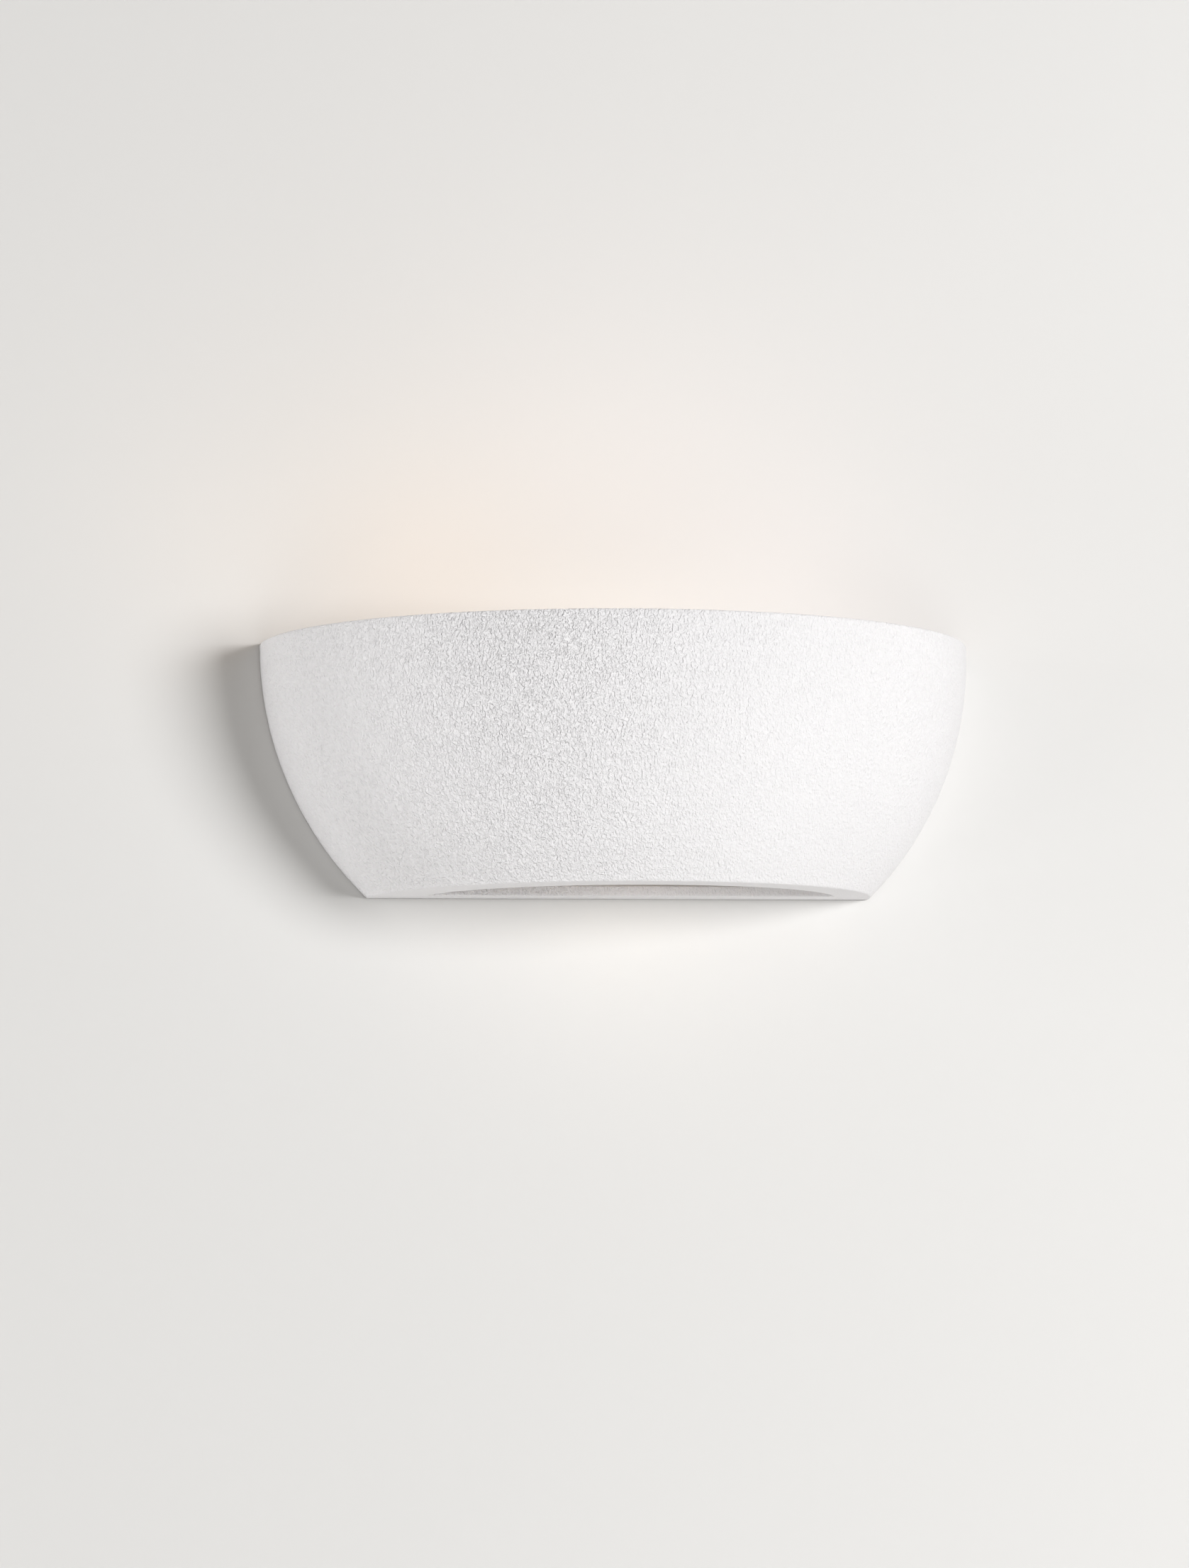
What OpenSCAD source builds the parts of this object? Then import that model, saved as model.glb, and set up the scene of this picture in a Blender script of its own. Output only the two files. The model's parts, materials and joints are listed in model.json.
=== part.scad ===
/* [Shade] */
// Width of the shade across its rim, along the wall
shade_w = 340; // [325:1:380]
// How far the rim stands out from the wall
shade_d = 115; // [105:1:140]
// Height of the shade
shade_h = 120; // [112:1:140]
// Thickness of the shade's wall
shade_wall = 7; // [5:0.5:9]
// Thickness of the shade's floor
floor_t = 5; // [4:0.5:8]
// Upright stretch under the rim, before the side curves in
brow_h = 3; // [2:0.5:10]
// Radius of the curve of the sides
side_r = 163; // [155:1:190]
// Rounding of the rim's two edges
rim_r = 1.2; // [0.5:0.1:2]
// Height of the rim above the wall screws
rim_above_screws = 55; // [52:1:60]

/* [Floor slot] */
// Width of the slot in the floor, where it is widest
slot_w = 195; // [150:1:200]
// Depth of the slot, from the rear bar to its curved front
slot_d = 51; // [40:1:56]
// Depth of the bar that closes the floor along the wall
rear_bar_d = 14; // [10:1:18]
// How far the slot lies to the right of the middle
slot_shift = 3.5; // [0:0.5:8]

/* [Wall bracket] */
// Thickness of the bracket's steel sheet
sheet_t = 1.5; // [1:0.1:2]
// Height of the bracket's plate
plate_h = 64; // [62:1:68]
// Inner radius of the bends at the two ears
bend_r = 2; // [1:0.5:3]
// Distance between the two wall screws
screw_spacing = 100; // [90:1:110]
// Diameter of each wall screw's hole
screw_hole_d = 5.5; // [4.5:0.1:6.5]
// Height of the ears' lower corner below the wall screws
ear_drop = 22; // [20:1:26]
// Radius of the ears' round front
ear_nose_r = 16.5; // [16.2:0.1:17]

/* [Hooks and strap] */
// Distance of each hook from the middle
hook_x = 60; // [40:1:65]
// Width of each hook
hook_w = 14; // [10:1:18]
// Height of each hook's lip above its seat
hook_lip = 6; // [4:0.5:7]
// Width of each hook's trough, from the plate to the lip
hook_gap = 4.5; // [4:0.1:5]
// Thickness of the hanging strap
strap_t = 1.5; // [1.2:0.1:2]
// Height of the hanging strap
strap_h = 16; // [14:1:18]
// Depth of the notches in which the strap sits on the hooks
notch_d = 4; // [3:0.5:5]
// Distance between the strap and the hooks' lips
strap_lip_gap = 0.8; // [0.4:0.1:1]
// Distance from the shade's sides in to the strap's end flanges
boss_l = 18; // [16:1:24]
// Depth of the strap's end flanges, from the wall
flange_reach = 20; // [19:1:24]

/* [Strap fixings] */
// Diameter of the bosses cast in the shade's sides
boss_d = 16; // [13:0.5:17]
// Distance of the bosses' axis from the wall
boss_y = 12; // [10.5:0.5:13]
// Outer diameter of the threaded inserts
insert_d = 6.4; // [6:0.1:7]
// Length of the threaded inserts
insert_l = 8; // [6:0.5:9]
// Thread diameter of the strap's and clamp's screws
screw_d = 4; // [3.5:0.1:4.5]
// Length of the strap's screws under the head
strap_screw_l = 8; // [6:0.5:9]

/* [Clamp screw] */
// Diameter of the knurled head
knob_d = 12; // [10:0.5:14]
// Length of the knurled head
knob_l = 7; // [5:0.5:9]
// Gap between the head and its nut when the screw is tight
knob_gap = 1.3; // [1:0.1:2]
// Diameter of the clinch nut's flange
nut_flange_d = 9; // [8:0.5:10]
// Thickness of the clinch nut's flange
nut_flange_t = 2; // [1.5:0.1:2.5]
// Height of the tab that the screw presses on, above the plate
tab_h = 17; // [16:1:19]
// Width of that tab
tab_w = 24; // [18:1:30]

/* [Lamp] */
// Length of the lamp over its two caps
lamp_l = 117.6; // [117:0.1:118]
// Outer diameter of the glass tube
tube_d = 10; // [9:0.1:11]
// Wall of the glass tube
tube_wall = 1; // [0.8:0.1:1.3]
// Diameter of the ceramic caps
cap_d = 11.5; // [11:0.1:12]
// Length of the ceramic caps
cap_l = 16; // [14:0.5:18]
// Diameter of the recess in each cap's end
recess_d = 5.3; // [5.1:0.1:5.6]
// Depth of that recess
recess_l = 1.7; // [1.4:0.1:2]
// Thickness of the contact at the recess's bottom
button_t = 1.2; // [0.8:0.1:1.5]
// Distance of the lamp's axis from the wall
lamp_y = 50; // [48:1:54]
// Height of the lamp's axis above the wall screws
lamp_z = 10; // [9.5:0.1:10.4]

/* [Lampholders] */
// Diameter of the holders' ceramic barrel
barrel_d = 18; // [17:0.1:19]
// Length of the holders, from face to ear
holder_l = 28; // [27:0.5:32]
// Depth to which the holders take the lamp's caps
cap_grip = 3; // [2.5:0.1:3.3]
// Radial gap between a cap and its cup
cup_gap = 0.75; // [0.5:0.05:1]
// End gap between a cap and the bottom of its cup
cup_end_gap = 0.5; // [0.3:0.1:0.8]
// Travel of the sprung contact
contact_travel = 4; // [3.5:0.1:4.5]
// Thickness of the holders' foot
foot_t = 5; // [4:0.5:6]
// Distance of the holders' screws from the lamp's axis
foot_screw_r = 12.7; // [12.5:0.1:12.9]
// Half the foot's height
foot_half = 16.2; // [16:0.1:16.2]
// Diameter of the contact pins
pin_d = 4.5; // [4:0.1:4.8]
// Thickness of the ceramic that guides the plunger
guide_t = 2.5; // [2:0.5:4]
// Diameter of the plunger's tail
tail_d = 3; // [2.5:0.1:3.2]
// Outer diameter of the rear terminals
terminal_d = 5; // [4.8:0.1:5.6]
// How far the rear terminals stand out from the ears
terminal_out = 12.7; // [12:0.1:14]
// Wire diameter of the contact spring
spring_wire = 0.6; // [0.5:0.05:0.8]
// Number of turns of the contact spring
spring_turns = 6; // [5:1:7]

/* [Reflector] */
// Inner radius of the reflector about the lamp's axis
refl_r = 26; // [25:0.5:28]
// Thickness of the reflector's sheet
refl_t = 0.8; // [0.6:0.1:1]
// Angle of the upper edge above the level of the lamp
refl_up = 50; // [40:1:52]
// Angle of the lower edge below the level of the lamp
refl_down = 78; // [60:1:85]
// Diameter of the holes for the screwdriver
access_d = 10; // [8:0.5:12]

/* [Terminal block] */
// Distance between two poles
pole_pitch = 10; // [9.8:0.1:10.6]
// Height of the block, along its wires
block_h = 18; // [16:0.5:19]
// Depth of the block, from plate to front
block_d = 11; // [10:0.5:12]
// Height of the screw turrets in front of the block
turret_h = 2.5; // [1.5:0.5:4]
// Height of the block's middle below the wall screws
block_drop = 13; // [13:0.5:14]

/* [Cable entry and wiring] */
// Bore of the grommet for the mains cable
grommet_bore = 9; // [7:0.5:11]
// Diameter of the grommet's hole in the plate
grommet_hole = 16; // [14:0.5:17]
// Height of the cable entry above the wall screws
entry_z = 12; // [11.5:0.5:14]
// Outer diameter of the sleeved wires
wire_d = 2.8; // [2.4:0.1:3]
// Diameter of the wires' copper
core_d = 1.2; // [1:0.1:1.4]

/* [Hidden] */

$fn = 96;
eps = 0.01;
over = 5;           // how far a cutting tool runs past what it cuts
fit = 0.05;         // radial gap of a running fit
loose = 0.2;        // radial gap of a screw in its clearance hole
seat = 0.1;         // gap between two pieces that are only laid together

// Levels and places of the shade
shade_top = rim_above_screws;
shade_base = shade_top - shade_h;
arc_z = shade_top - brow_h;

// Places of the bracket
plate_top = plate_h / 2;
hook_seat = plate_top;
lip_y = sheet_t + hook_gap;
strap_front = lip_y - strap_lip_gap;
strap_back = strap_front - strap_t;
strap_base = hook_seat - notch_d;
strap_mid = strap_base + strap_h / 2;
tab_top = plate_top + tab_h;
boss_z = strap_mid;
strap_reach = shade_w / 2 - boss_l;

// Places along the lamp's axis, from the middle
cap_end = lamp_l / 2;
holder_face = cap_end - cap_grip;
ear_in = holder_face + holder_l;
ear_out = ear_in + sheet_t;
button_x = cap_end - recess_l;
cup_d = cap_d + 2 * cup_gap;
fixed_cup_x = cap_end + cup_end_gap;
sprung_cup_x = cap_end + contact_travel + cup_end_gap;
chamber_x = sprung_cup_x + guide_t;
chamber_d = 10.4;
collar_d = 8.6;
collar_t = 1.5;
collar_x = chamber_x + loose;
insulator_t = 2;
insulator_out = 2;
spigot_d = 8.6;
term_flange_t = 1;
term_flange_x = ear_in - insulator_t - term_flange_t;
term_end = ear_out + terminal_out;
wire_entry_x = term_end - 3;
tail_end = wire_entry_x - contact_travel - 3;
term_bore_end = wire_entry_x - 2;
spring_from = collar_x + collar_t;
spring_to = term_flange_x;
spring_r = 3.2;
foot_step = 4;      // how far the foot's rounded ends step in
foot_tip = foot_half - foot_screw_r;

// Places inside the lamp
pinch_l = 10;
pinch_w = 8;
pinch_t = 3;
pinch_gap = 2.5;    // from the tube's full round to its cap
dome_t = 2;         // glass at each end of the tube
tube_end = cap_end - cap_l - pinch_gap;
tube_bore = tube_d - 2 * tube_wall;
coil_d = 1.4;
lead_d = 0.6;
lead_l = 5;
support_w = 0.5;

// Places of the terminal block and the earth point
block_w = 3 * pole_pitch;
pole_gap = 1;       // groove between two poles
web_in = 3;         // how far the web lies behind the poles' fronts
web_short = 2;      // how much shorter than the poles the web is at each end
insert_od = 5;
insert_bore = 3.2;
pole_y = sheet_t + 6;
block_base = -block_drop - block_h / 2;
clamp_levels = [-block_drop - block_h / 4, -block_drop + block_h / 4];
turret_d = 6.6;
earth_x = 34;
earth_z = -4;
stud_d = 4;
stud_l = 11;
stud_collar_w = 2.5;
tag_t = 0.8;
tag_y = sheet_t + 1;
tag_l = 12;
tag_d = 8.4;
tag_neck_w = 3.4;
tag_barrel_d = 3.8;
tag_barrel_l = 5;
barrel_y = tag_y + tag_t + 1.2;
washer_d = 8;
earth_nut_d = 8.1;  // over its corners
earth_nut_l = 3.2;

// Places of the wires' holes in the ears
bush_y = 9;
bush_z = -12;
bush_hole = 6.4;
bush_flange_t = 1;
bush_flange_w = 2.6;
bush_gap = 0.4;

// Reflector, grommet, screws, nuts and rivets
refl_tab_w = 12;
grommet_flange_w = 4;
grommet_flange_t = 1.5;
grommet_cone_l = 3;
grommet_lip = 2.4;
terminal_screw_d = 3;
foot_screw_d = 3;
foot_head_d = 5.6;
head_t = 2;
foot_nut_d = 6.2;   // over its corners
nut_t = 2.4;
thread_out = 0.6;   // how far a screw's end stands out of its nut
driver_w = 0.8;     // width and depth of a screwdriver's slot
rivet_d = 3.2;
rivet_y = 17;
rivet_head_t = 1;
clamp_d = 2.6;
clamp_head_d = 3.8;
clamp_head_l = 3;
fixing_head_d = 4.4;
fixing_head_y = 2.6;
fixing_tip = 0.2;
strap_head_d = 8;
strap_head_t = 2.4;
cross_l = 4;        // length of the cross recess
cross_deep = 1;
nut_barrel_d = 6;
knurls = 24;
knurl_d = 0.9;
coin_w = 1.2;       // width of the slot in the knurled head
coin_deep = 1.5;

// Wires
wire_sides = 8;
on_plate = sheet_t + wire_d / 2 + seat;
low_z = -plate_h / 2 + 3;
term_side = lamp_y - terminal_d / 2 - seat;
core_in = 1;        // how far the bare core reaches back into its sleeve
earth_route = [
    [pole_pitch, -pole_y, block_base - seat], [pole_pitch, -pole_y, block_base - 2],
    [pole_pitch + 4, -pole_y, block_base - 4], [pole_pitch + 14, -pole_y + 1.5, block_base - 3.5],
    [earth_x - 2, -barrel_y - 0.5, earth_z - tag_l - 5.5], [earth_x, -barrel_y, earth_z - tag_l - 2.5],
    [earth_x, -barrel_y, earth_z - tag_l - seat]
];

// Copies a piece to both sides of the middle
module both_sides() {
    children();
    mirror([1, 0, 0]) children();
}

// A rod along X from x0 to x1 on the axis through y, z
module rod_x(d, x0, x1, y, z) {
    translate([x0, y, z]) rotate([0, 90, 0]) cylinder(d = d, h = x1 - x0);
}

// A rod along Y from y0 back to y1, both counted out from the wall
module rod_y(d, y0, y1, x, z) {
    translate([x, -y0, z]) rotate([90, 0, 0]) cylinder(d = d, h = y1 - y0);
}

// A rod on the lamp's axis
module axis_rod(d, x0, x1) {
    rod_x(d, x0, x1, -lamp_y, lamp_z);
}

// A rod along one of the holders' screws, above or below the lamp
module rod_foot(d, x0, x1, side) {
    rod_x(d, x0, x1, -lamp_y, lamp_z + side * foot_screw_r);
}

// A flat shape in the plane of Y and Z, given thickness along X
module across(x0, x1) {
    translate([x0, 0, 0]) rotate([90, 0, 90]) linear_extrude(x1 - x0) children();
}

// Half of a bowl's upright section: upright brow, then an arc drawn in towards the base
module bowl_section(w, r, top, base) {
    intersection() {
        translate([0, base]) square([w, top - base]);
        union() {
            translate([w - r, arc_z]) circle(r = r, $fn = 180);
            translate([0, arc_z]) square([w, top - arc_z]);
        }
    }
}

// A half bowl against the wall, with similar half ellipses as its level sections
module half_bowl(w, d) {
    scale([1, d / w, 1]) rotate([0, 0, 180]) rotate_extrude(angle = 180, $fn = 180) children();
}

// The outer form, its rim's outer edge rounded
module shade_outside() {
    half_bowl(shade_w / 2, shade_d) {
        w = shade_w / 2;
        bowl_section(w - eps, side_r - eps, shade_top - rim_r, shade_base);
        translate([0, shade_top - rim_r]) square([w - rim_r, rim_r]);
        translate([w - rim_r, shade_top - rim_r]) circle(r = rim_r - eps);
    }
}

// The hollow, its rim's inner edge rounded
module shade_inside() {
    w = shade_w / 2 - shade_wall;
    half_bowl(w, shade_d - shade_wall) {
        bowl_section(w, side_r - shade_wall, shade_top + over, shade_base + floor_t);
        difference() {
            translate([w, shade_top - rim_r]) square([rim_r, rim_r + over]);
            translate([w + rim_r, shade_top - rim_r]) circle(r = rim_r);
        }
    }
}

// The slot's outline, counted out from the wall
module slot_outline() {
    front = rear_bar_d + slot_d;
    half = slot_w / 2 / sqrt(1 - pow(rear_bar_d / front, 2));
    intersection() {
        scale([half, front]) circle(r = 1, $fn = 128);
        translate([-slot_w, rear_bar_d]) square([2 * slot_w, front]);
    }
}

module shade() {
    color("gainsboro") difference() {
        shade_outside();
        difference() {
            shade_inside();
            both_sides() rod_x(boss_d, strap_reach, shade_w / 2, -boss_y, boss_z);
        }
        translate([slot_shift, 0, shade_base - over]) mirror([0, 1, 0])
            linear_extrude(floor_t + 2 * over) slot_outline();
        both_sides()
            rod_x(insert_d + 2 * fit, strap_reach - over, strap_reach + insert_l + seat * 5, -boss_y, boss_z);
    }
}

// The U of the bracket in plan: plate, bend and ear on one side
module ear_plan() {
    translate([ear_in - bend_r, -sheet_t - bend_r]) intersection() {
        difference() {
            circle(r = bend_r + sheet_t);
            circle(r = bend_r);
        }
        square(bend_r + sheet_t);
    }
    translate([ear_in - 2 * bend_r, -sheet_t]) square([bend_r + eps, sheet_t]);
    translate([ear_in, -lamp_y - ear_nose_r]) square([sheet_t, lamp_y + ear_nose_r - sheet_t - bend_r + eps]);
}

// The ear's outline seen from the side, counted out from the wall
module ear_outline() {
    polygon([
        [0, -ear_drop], [0, lamp_z + ear_nose_r],
        [-lamp_y, lamp_z + ear_nose_r], [-lamp_y, lamp_z - ear_nose_r]
    ]);
    translate([-lamp_y, lamp_z]) circle(r = ear_nose_r);
}

// One hook, seen from the side: a leg out of the plate and a lip with a round tip
module hook_outline() {
    translate([-lip_y - sheet_t, hook_seat - sheet_t]) square([lip_y + sheet_t - eps, sheet_t]);
    translate([-lip_y - sheet_t, hook_seat - sheet_t]) square([sheet_t, sheet_t + hook_lip - sheet_t / 2]);
    translate([-lip_y - sheet_t / 2, hook_seat + hook_lip - sheet_t / 2]) circle(d = sheet_t);
}

module wall_bracket() {
    plate_half = ear_in - bend_r;
    color("white") difference() {
        union() {
            translate([-plate_half, -sheet_t, -plate_h / 2]) cube([2 * plate_half, sheet_t, plate_h]);
            translate([-tab_w / 2, -sheet_t, 0]) cube([tab_w, sheet_t, tab_top]);
            both_sides() intersection() {
                translate([0, 0, -plate_h]) linear_extrude(2 * plate_h) ear_plan();
                across(0, ear_out + over) ear_outline();
            }
            both_sides() across(hook_x - hook_w / 2, hook_x + hook_w / 2) hook_outline();
        }
        both_sides() rod_y(screw_hole_d, -over, over, screw_spacing / 2, 0);
        rod_y(grommet_hole, -over, over, 0, entry_z);
        rod_y(terminal_screw_d, -over, over, -pole_pitch / 2, -block_drop);
        both_sides() {
            rod_x(spigot_d + 2 * loose, ear_in - over, ear_out + over, -lamp_y, lamp_z);
            rod_x(bush_hole, ear_in - over, ear_out + over, -bush_y, bush_z);
            rod_x(rivet_d, ear_in - over, ear_out + over, -rivet_y, lamp_z);
            for (side = [-1, 1]) rod_foot(foot_screw_d + 2 * loose, ear_in - over, ear_out + over, side);
        }
    }
}

module cable_grommet() {
    color("dimgray") difference() {
        union() {
            rod_y(grommet_hole - 2 * fit, 0, sheet_t + eps, 0, entry_z);
            rod_y(grommet_hole + grommet_flange_w, sheet_t, sheet_t + grommet_flange_t, 0, entry_z);
            translate([0, -sheet_t - grommet_flange_t, entry_z]) rotate([90, 0, 0])
                cylinder(d1 = grommet_hole + 1, d2 = grommet_bore + grommet_lip, h = grommet_cone_l);
        }
        rod_y(grommet_bore, -over, sheet_t + over * 2, 0, entry_z);
    }
}

module terminal_housing() {
    block_front = sheet_t + block_d;
    fixing_head = sheet_t + fixing_head_y;
    color("ivory") difference() {
        union() {
            for (i = [-1:1]) {
                x = i * pole_pitch;
                translate([x - (pole_pitch - pole_gap) / 2, -block_front, block_base])
                    cube([pole_pitch - pole_gap, block_d, block_h]);
                for (z = clamp_levels) rod_y(turret_d, block_front - eps, block_front + turret_h, x, z);
            }
            translate([-(block_w - 2 * pole_gap) / 2, -block_front + web_in, block_base + web_short])
                cube([block_w - 2 * pole_gap, block_d - web_in, block_h - 2 * web_short]);
        }
        for (i = [-1:1]) {
            x = i * pole_pitch;
            translate([x, -pole_y, block_base - over])
                cylinder(d = insert_od + 2 * fit, h = block_h + 2 * over);
            for (z = clamp_levels)
                rod_y(clamp_head_d + 2 * loose, pole_y, block_front + turret_h + over, x, z);
        }
        rod_y(terminal_screw_d + 2 * loose, -over, block_front + over, -pole_pitch / 2, -block_drop);
        rod_y(fixing_head_d + 2 * loose, fixing_head, block_front + over, -pole_pitch / 2, -block_drop);
    }
}

module terminal_inserts() {
    color("goldenrod") for (i = [-1:1]) translate([i * pole_pitch, -pole_y, 0]) difference() {
        translate([0, 0, block_base + 1]) cylinder(d = insert_od, h = block_h - 2);
        translate([0, 0, block_base - over]) cylinder(d = insert_bore, h = block_h + 2 * over);
        for (z = clamp_levels) translate([0, 0, z]) rotate([90, 0, 0])
            cylinder(d = clamp_d + 2 * fit, h = insert_od);
    }
}

// A slotted screw along Y: a shank from y0 out to the head at y1, and the head on to y2
module slotted_screw(d, head_d, y0, y1, y2, x, z) {
    difference() {
        union() {
            rod_y(d, y0, y1 + eps, x, z);
            rod_y(head_d, y1, y2, x, z);
        }
        translate([x - head_d, -y2 - eps, z - driver_w / 2]) cube([2 * head_d, driver_w, driver_w]);
    }
}

module terminal_screws() {
    tip = pole_y + core_d / 2;
    head = pole_y + insert_od / 2 + 1;
    color("silver") for (i = [-1:1], z = clamp_levels)
        slotted_screw(clamp_d, clamp_head_d, tip, head, head + clamp_head_l, i * pole_pitch, z);
}

module terminal_fixing_screw() {
    head = sheet_t + fixing_head_y;
    d = terminal_screw_d - 2 * fit;
    color("silver")
        slotted_screw(d, fixing_head_d, fixing_tip, head, head + head_t, -pole_pitch / 2, -block_drop);
}

module earth_stud() {
    color("silver") {
        rod_y(stud_d + stud_collar_w, sheet_t, tag_y, earth_x, earth_z);
        rod_y(stud_d, tag_y - eps, sheet_t + stud_l, earth_x, earth_z);
    }
}

module earth_tag() {
    color("lightgray") difference() {
        union() {
            rod_y(tag_d, tag_y, tag_y + tag_t, earth_x, earth_z);
            translate([earth_x - tag_neck_w / 2, -tag_y - tag_t, earth_z - tag_l + tag_barrel_l - 1])
                cube([tag_neck_w, tag_t, tag_l - tag_barrel_l + 1]);
            translate([earth_x, -barrel_y, earth_z - tag_l]) cylinder(d = tag_barrel_d, h = tag_barrel_l);
        }
        rod_y(stud_d + 2 * loose, 0, over * 2, earth_x, earth_z);
        translate([earth_x, -barrel_y, earth_z - tag_l - 1]) cylinder(d = core_d + 2 * fit, h = tag_barrel_l);
    }
}

module earth_washer() {
    color("silver") difference() {
        rod_y(washer_d, tag_y + tag_t, tag_y + 2 * tag_t, earth_x, earth_z);
        rod_y(stud_d + 2 * loose, 0, over * 2, earth_x, earth_z);
    }
}

module earth_nut() {
    from = tag_y + 2 * tag_t;
    color("silver") difference() {
        translate([earth_x, -from, earth_z]) rotate([90, 0, 0])
            cylinder(d = earth_nut_d, h = earth_nut_l, $fn = 6);
        rod_y(stud_d + 2 * fit, 0, over * 3, earth_x, earth_z);
    }
}

// Wires: a smooth tube along hand-chosen points, and its bare ends

// Point at share t of the curve between b and c that also heeds a and d
function curve(a, b, c, d, t) =
    0.5 * (2 * b + (c - a) * t + (2 * a - 5 * b + 4 * c - d) * t * t + (3 * b - a - 3 * c + d) * t * t * t);
function smooth(p, n) = [
    for (i = [0:len(p) - 2], k = [0:n - 1])
        curve(p[max(i - 1, 0)], p[i], p[i + 1], p[min(i + 2, len(p) - 1)], k / n),
    p[len(p) - 1]
];
function unit(v) = v / norm(v);
function heading(p, i) = unit(p[min(i + 1, len(p) - 1)] - p[max(i - 1, 0)]);
// Side vectors carried along the path without twist
function sides(p, i = 0, s = undef, out = []) =
    i == len(p) ? out :
    let (
        h = heading(p, i),
        from = i == 0 ? (abs(h.y) < 0.9 ? [0, 1, 0] : [1, 0, 0]) : s,
        now = unit(from - (from * h) * h)
    )
    sides(p, i + 1, now, concat(out, [now]));

// A closed tube along the points p
module tube(p, d, n) {
    s = sides(p);
    rings = [
        for (i = [0:len(p) - 1], k = [0:n - 1])
            let (h = heading(p, i), v = cross(h, s[i]), a = 360 * k / n)
            p[i] + d / 2 * (cos(a) * s[i] + sin(a) * v)
    ];
    last = (len(p) - 1) * n;
    walls = [
        for (i = [0:len(p) - 2], k = [0:n - 1])
            let (a = i * n + k, b = i * n + (k + 1) % n)
            each [[a, a + n, b], [b, a + n, b + n]]
    ];
    ends = [
        for (k = [1:n - 2]) each [[0, k, k + 1], [last, last + k + 1, last + k]]
    ];
    polyhedron(rings, concat(walls, ends));
}

// From a pole of the block, along the plate's foot, through the ear and to the holder's rear terminal
function ear_wire_route(pole_x) = [
    [pole_x, -pole_y, block_base - seat], [pole_x, -pole_y, block_base - 3],
    [pole_x + 6, -on_plate - 1, low_z], [pole_x + 16, -on_plate, low_z], [ear_in - 24, -on_plate, low_z],
    [ear_in - 12, -on_plate - 1.5, low_z + 5], [ear_in - 6, -bush_y, bush_z - 2],
    [ear_in - 1, -bush_y, bush_z],
    [ear_out + 2, -bush_y, bush_z], [wire_entry_x - 1, -bush_y - 4, bush_z + 1],
    [wire_entry_x, -bush_y - 12, bush_z + 6], [wire_entry_x, -term_side + 9, lamp_z - 1],
    [wire_entry_x, -term_side + 4, lamp_z], [wire_entry_x, -term_side, lamp_z]
];

module ear_wire(pole_x) {
    tube(smooth(ear_wire_route(pole_x), 3), wire_d, wire_sides);
    translate([pole_x, -pole_y, block_base - core_in]) cylinder(d = core_d, h = block_h / 2);
    rod_y(core_d, term_side - core_in, lamp_y, wire_entry_x, lamp_z);
}

module live_wire() {
    color("firebrick") mirror([1, 0, 0]) ear_wire(pole_pitch);
}

module neutral_wire() {
    color("royalblue") ear_wire(0);
}

module earth_wire() {
    color("yellowgreen") {
        tube(smooth(earth_route, 4), wire_d, wire_sides);
        translate([pole_pitch, -pole_y, block_base - core_in]) cylinder(d = core_d, h = block_h / 2);
        translate([earth_x, -barrel_y, earth_z - tag_l - core_in])
            cylinder(d = core_d, h = tag_barrel_l - core_in / 2);
    }
}

module wire_bushes() {
    color("dimgray") both_sides() difference() {
        union() {
            rod_x(bush_hole - 2 * fit, ear_in - 0.5, ear_out + 0.5, -bush_y, bush_z);
            for (x = [ear_in - bush_flange_t, ear_out])
                rod_x(bush_hole + bush_flange_w, x, x + bush_flange_t, -bush_y, bush_z);
        }
        rod_x(wire_d + 2 * bush_gap, ear_in - over, ear_out + over, -bush_y, bush_z);
    }
}

// The reflector's section about the lamp's axis: an arc with a rolled edge at each end
module reflector_section() {
    mid = refl_r + refl_t / 2;
    sweep = refl_up + refl_down;
    translate([-lamp_y, lamp_z]) {
        intersection() {
            difference() {
                circle(r = refl_r + refl_t, $fn = 180);
                circle(r = refl_r, $fn = 180);
            }
            polygon([
                [0, 0],
                for (i = [0:4]) let (a = i * sweep / 4 - refl_down) 2 * refl_r * [cos(a), sin(a)]
            ]);
        }
        for (a = [-refl_down, refl_up]) rotate(a) translate([mid, 0]) circle(d = 2.5 * refl_t);
    }
}

module reflector() {
    color("lightsteelblue") difference() {
        union() {
            across(-ear_in, ear_in) reflector_section();
            both_sides() translate([ear_in - refl_t, -lamp_y + refl_r, lamp_z - refl_tab_w / 2])
                cube([refl_t, lamp_y - refl_r - rivet_y + refl_tab_w / 2 - 1, refl_tab_w]);
        }
        both_sides() {
            rod_y(access_d, rivet_y, lamp_y, screw_spacing / 2, 0);
            rod_x(rivet_d + 2 * fit, ear_in - over, ear_out, -rivet_y, lamp_z);
        }
    }
}

module reflector_rivets() {
    color("silver") both_sides() {
        rod_x(rivet_d - 2 * fit, ear_in - refl_t - eps, ear_out + eps, -rivet_y, lamp_z);
        rod_x(2 * rivet_d, ear_in - refl_t - rivet_head_t, ear_in - refl_t, -rivet_y, lamp_z);
        rod_x(2 * rivet_d, ear_out, ear_out + rivet_head_t, -rivet_y, lamp_z);
    }
}

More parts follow.
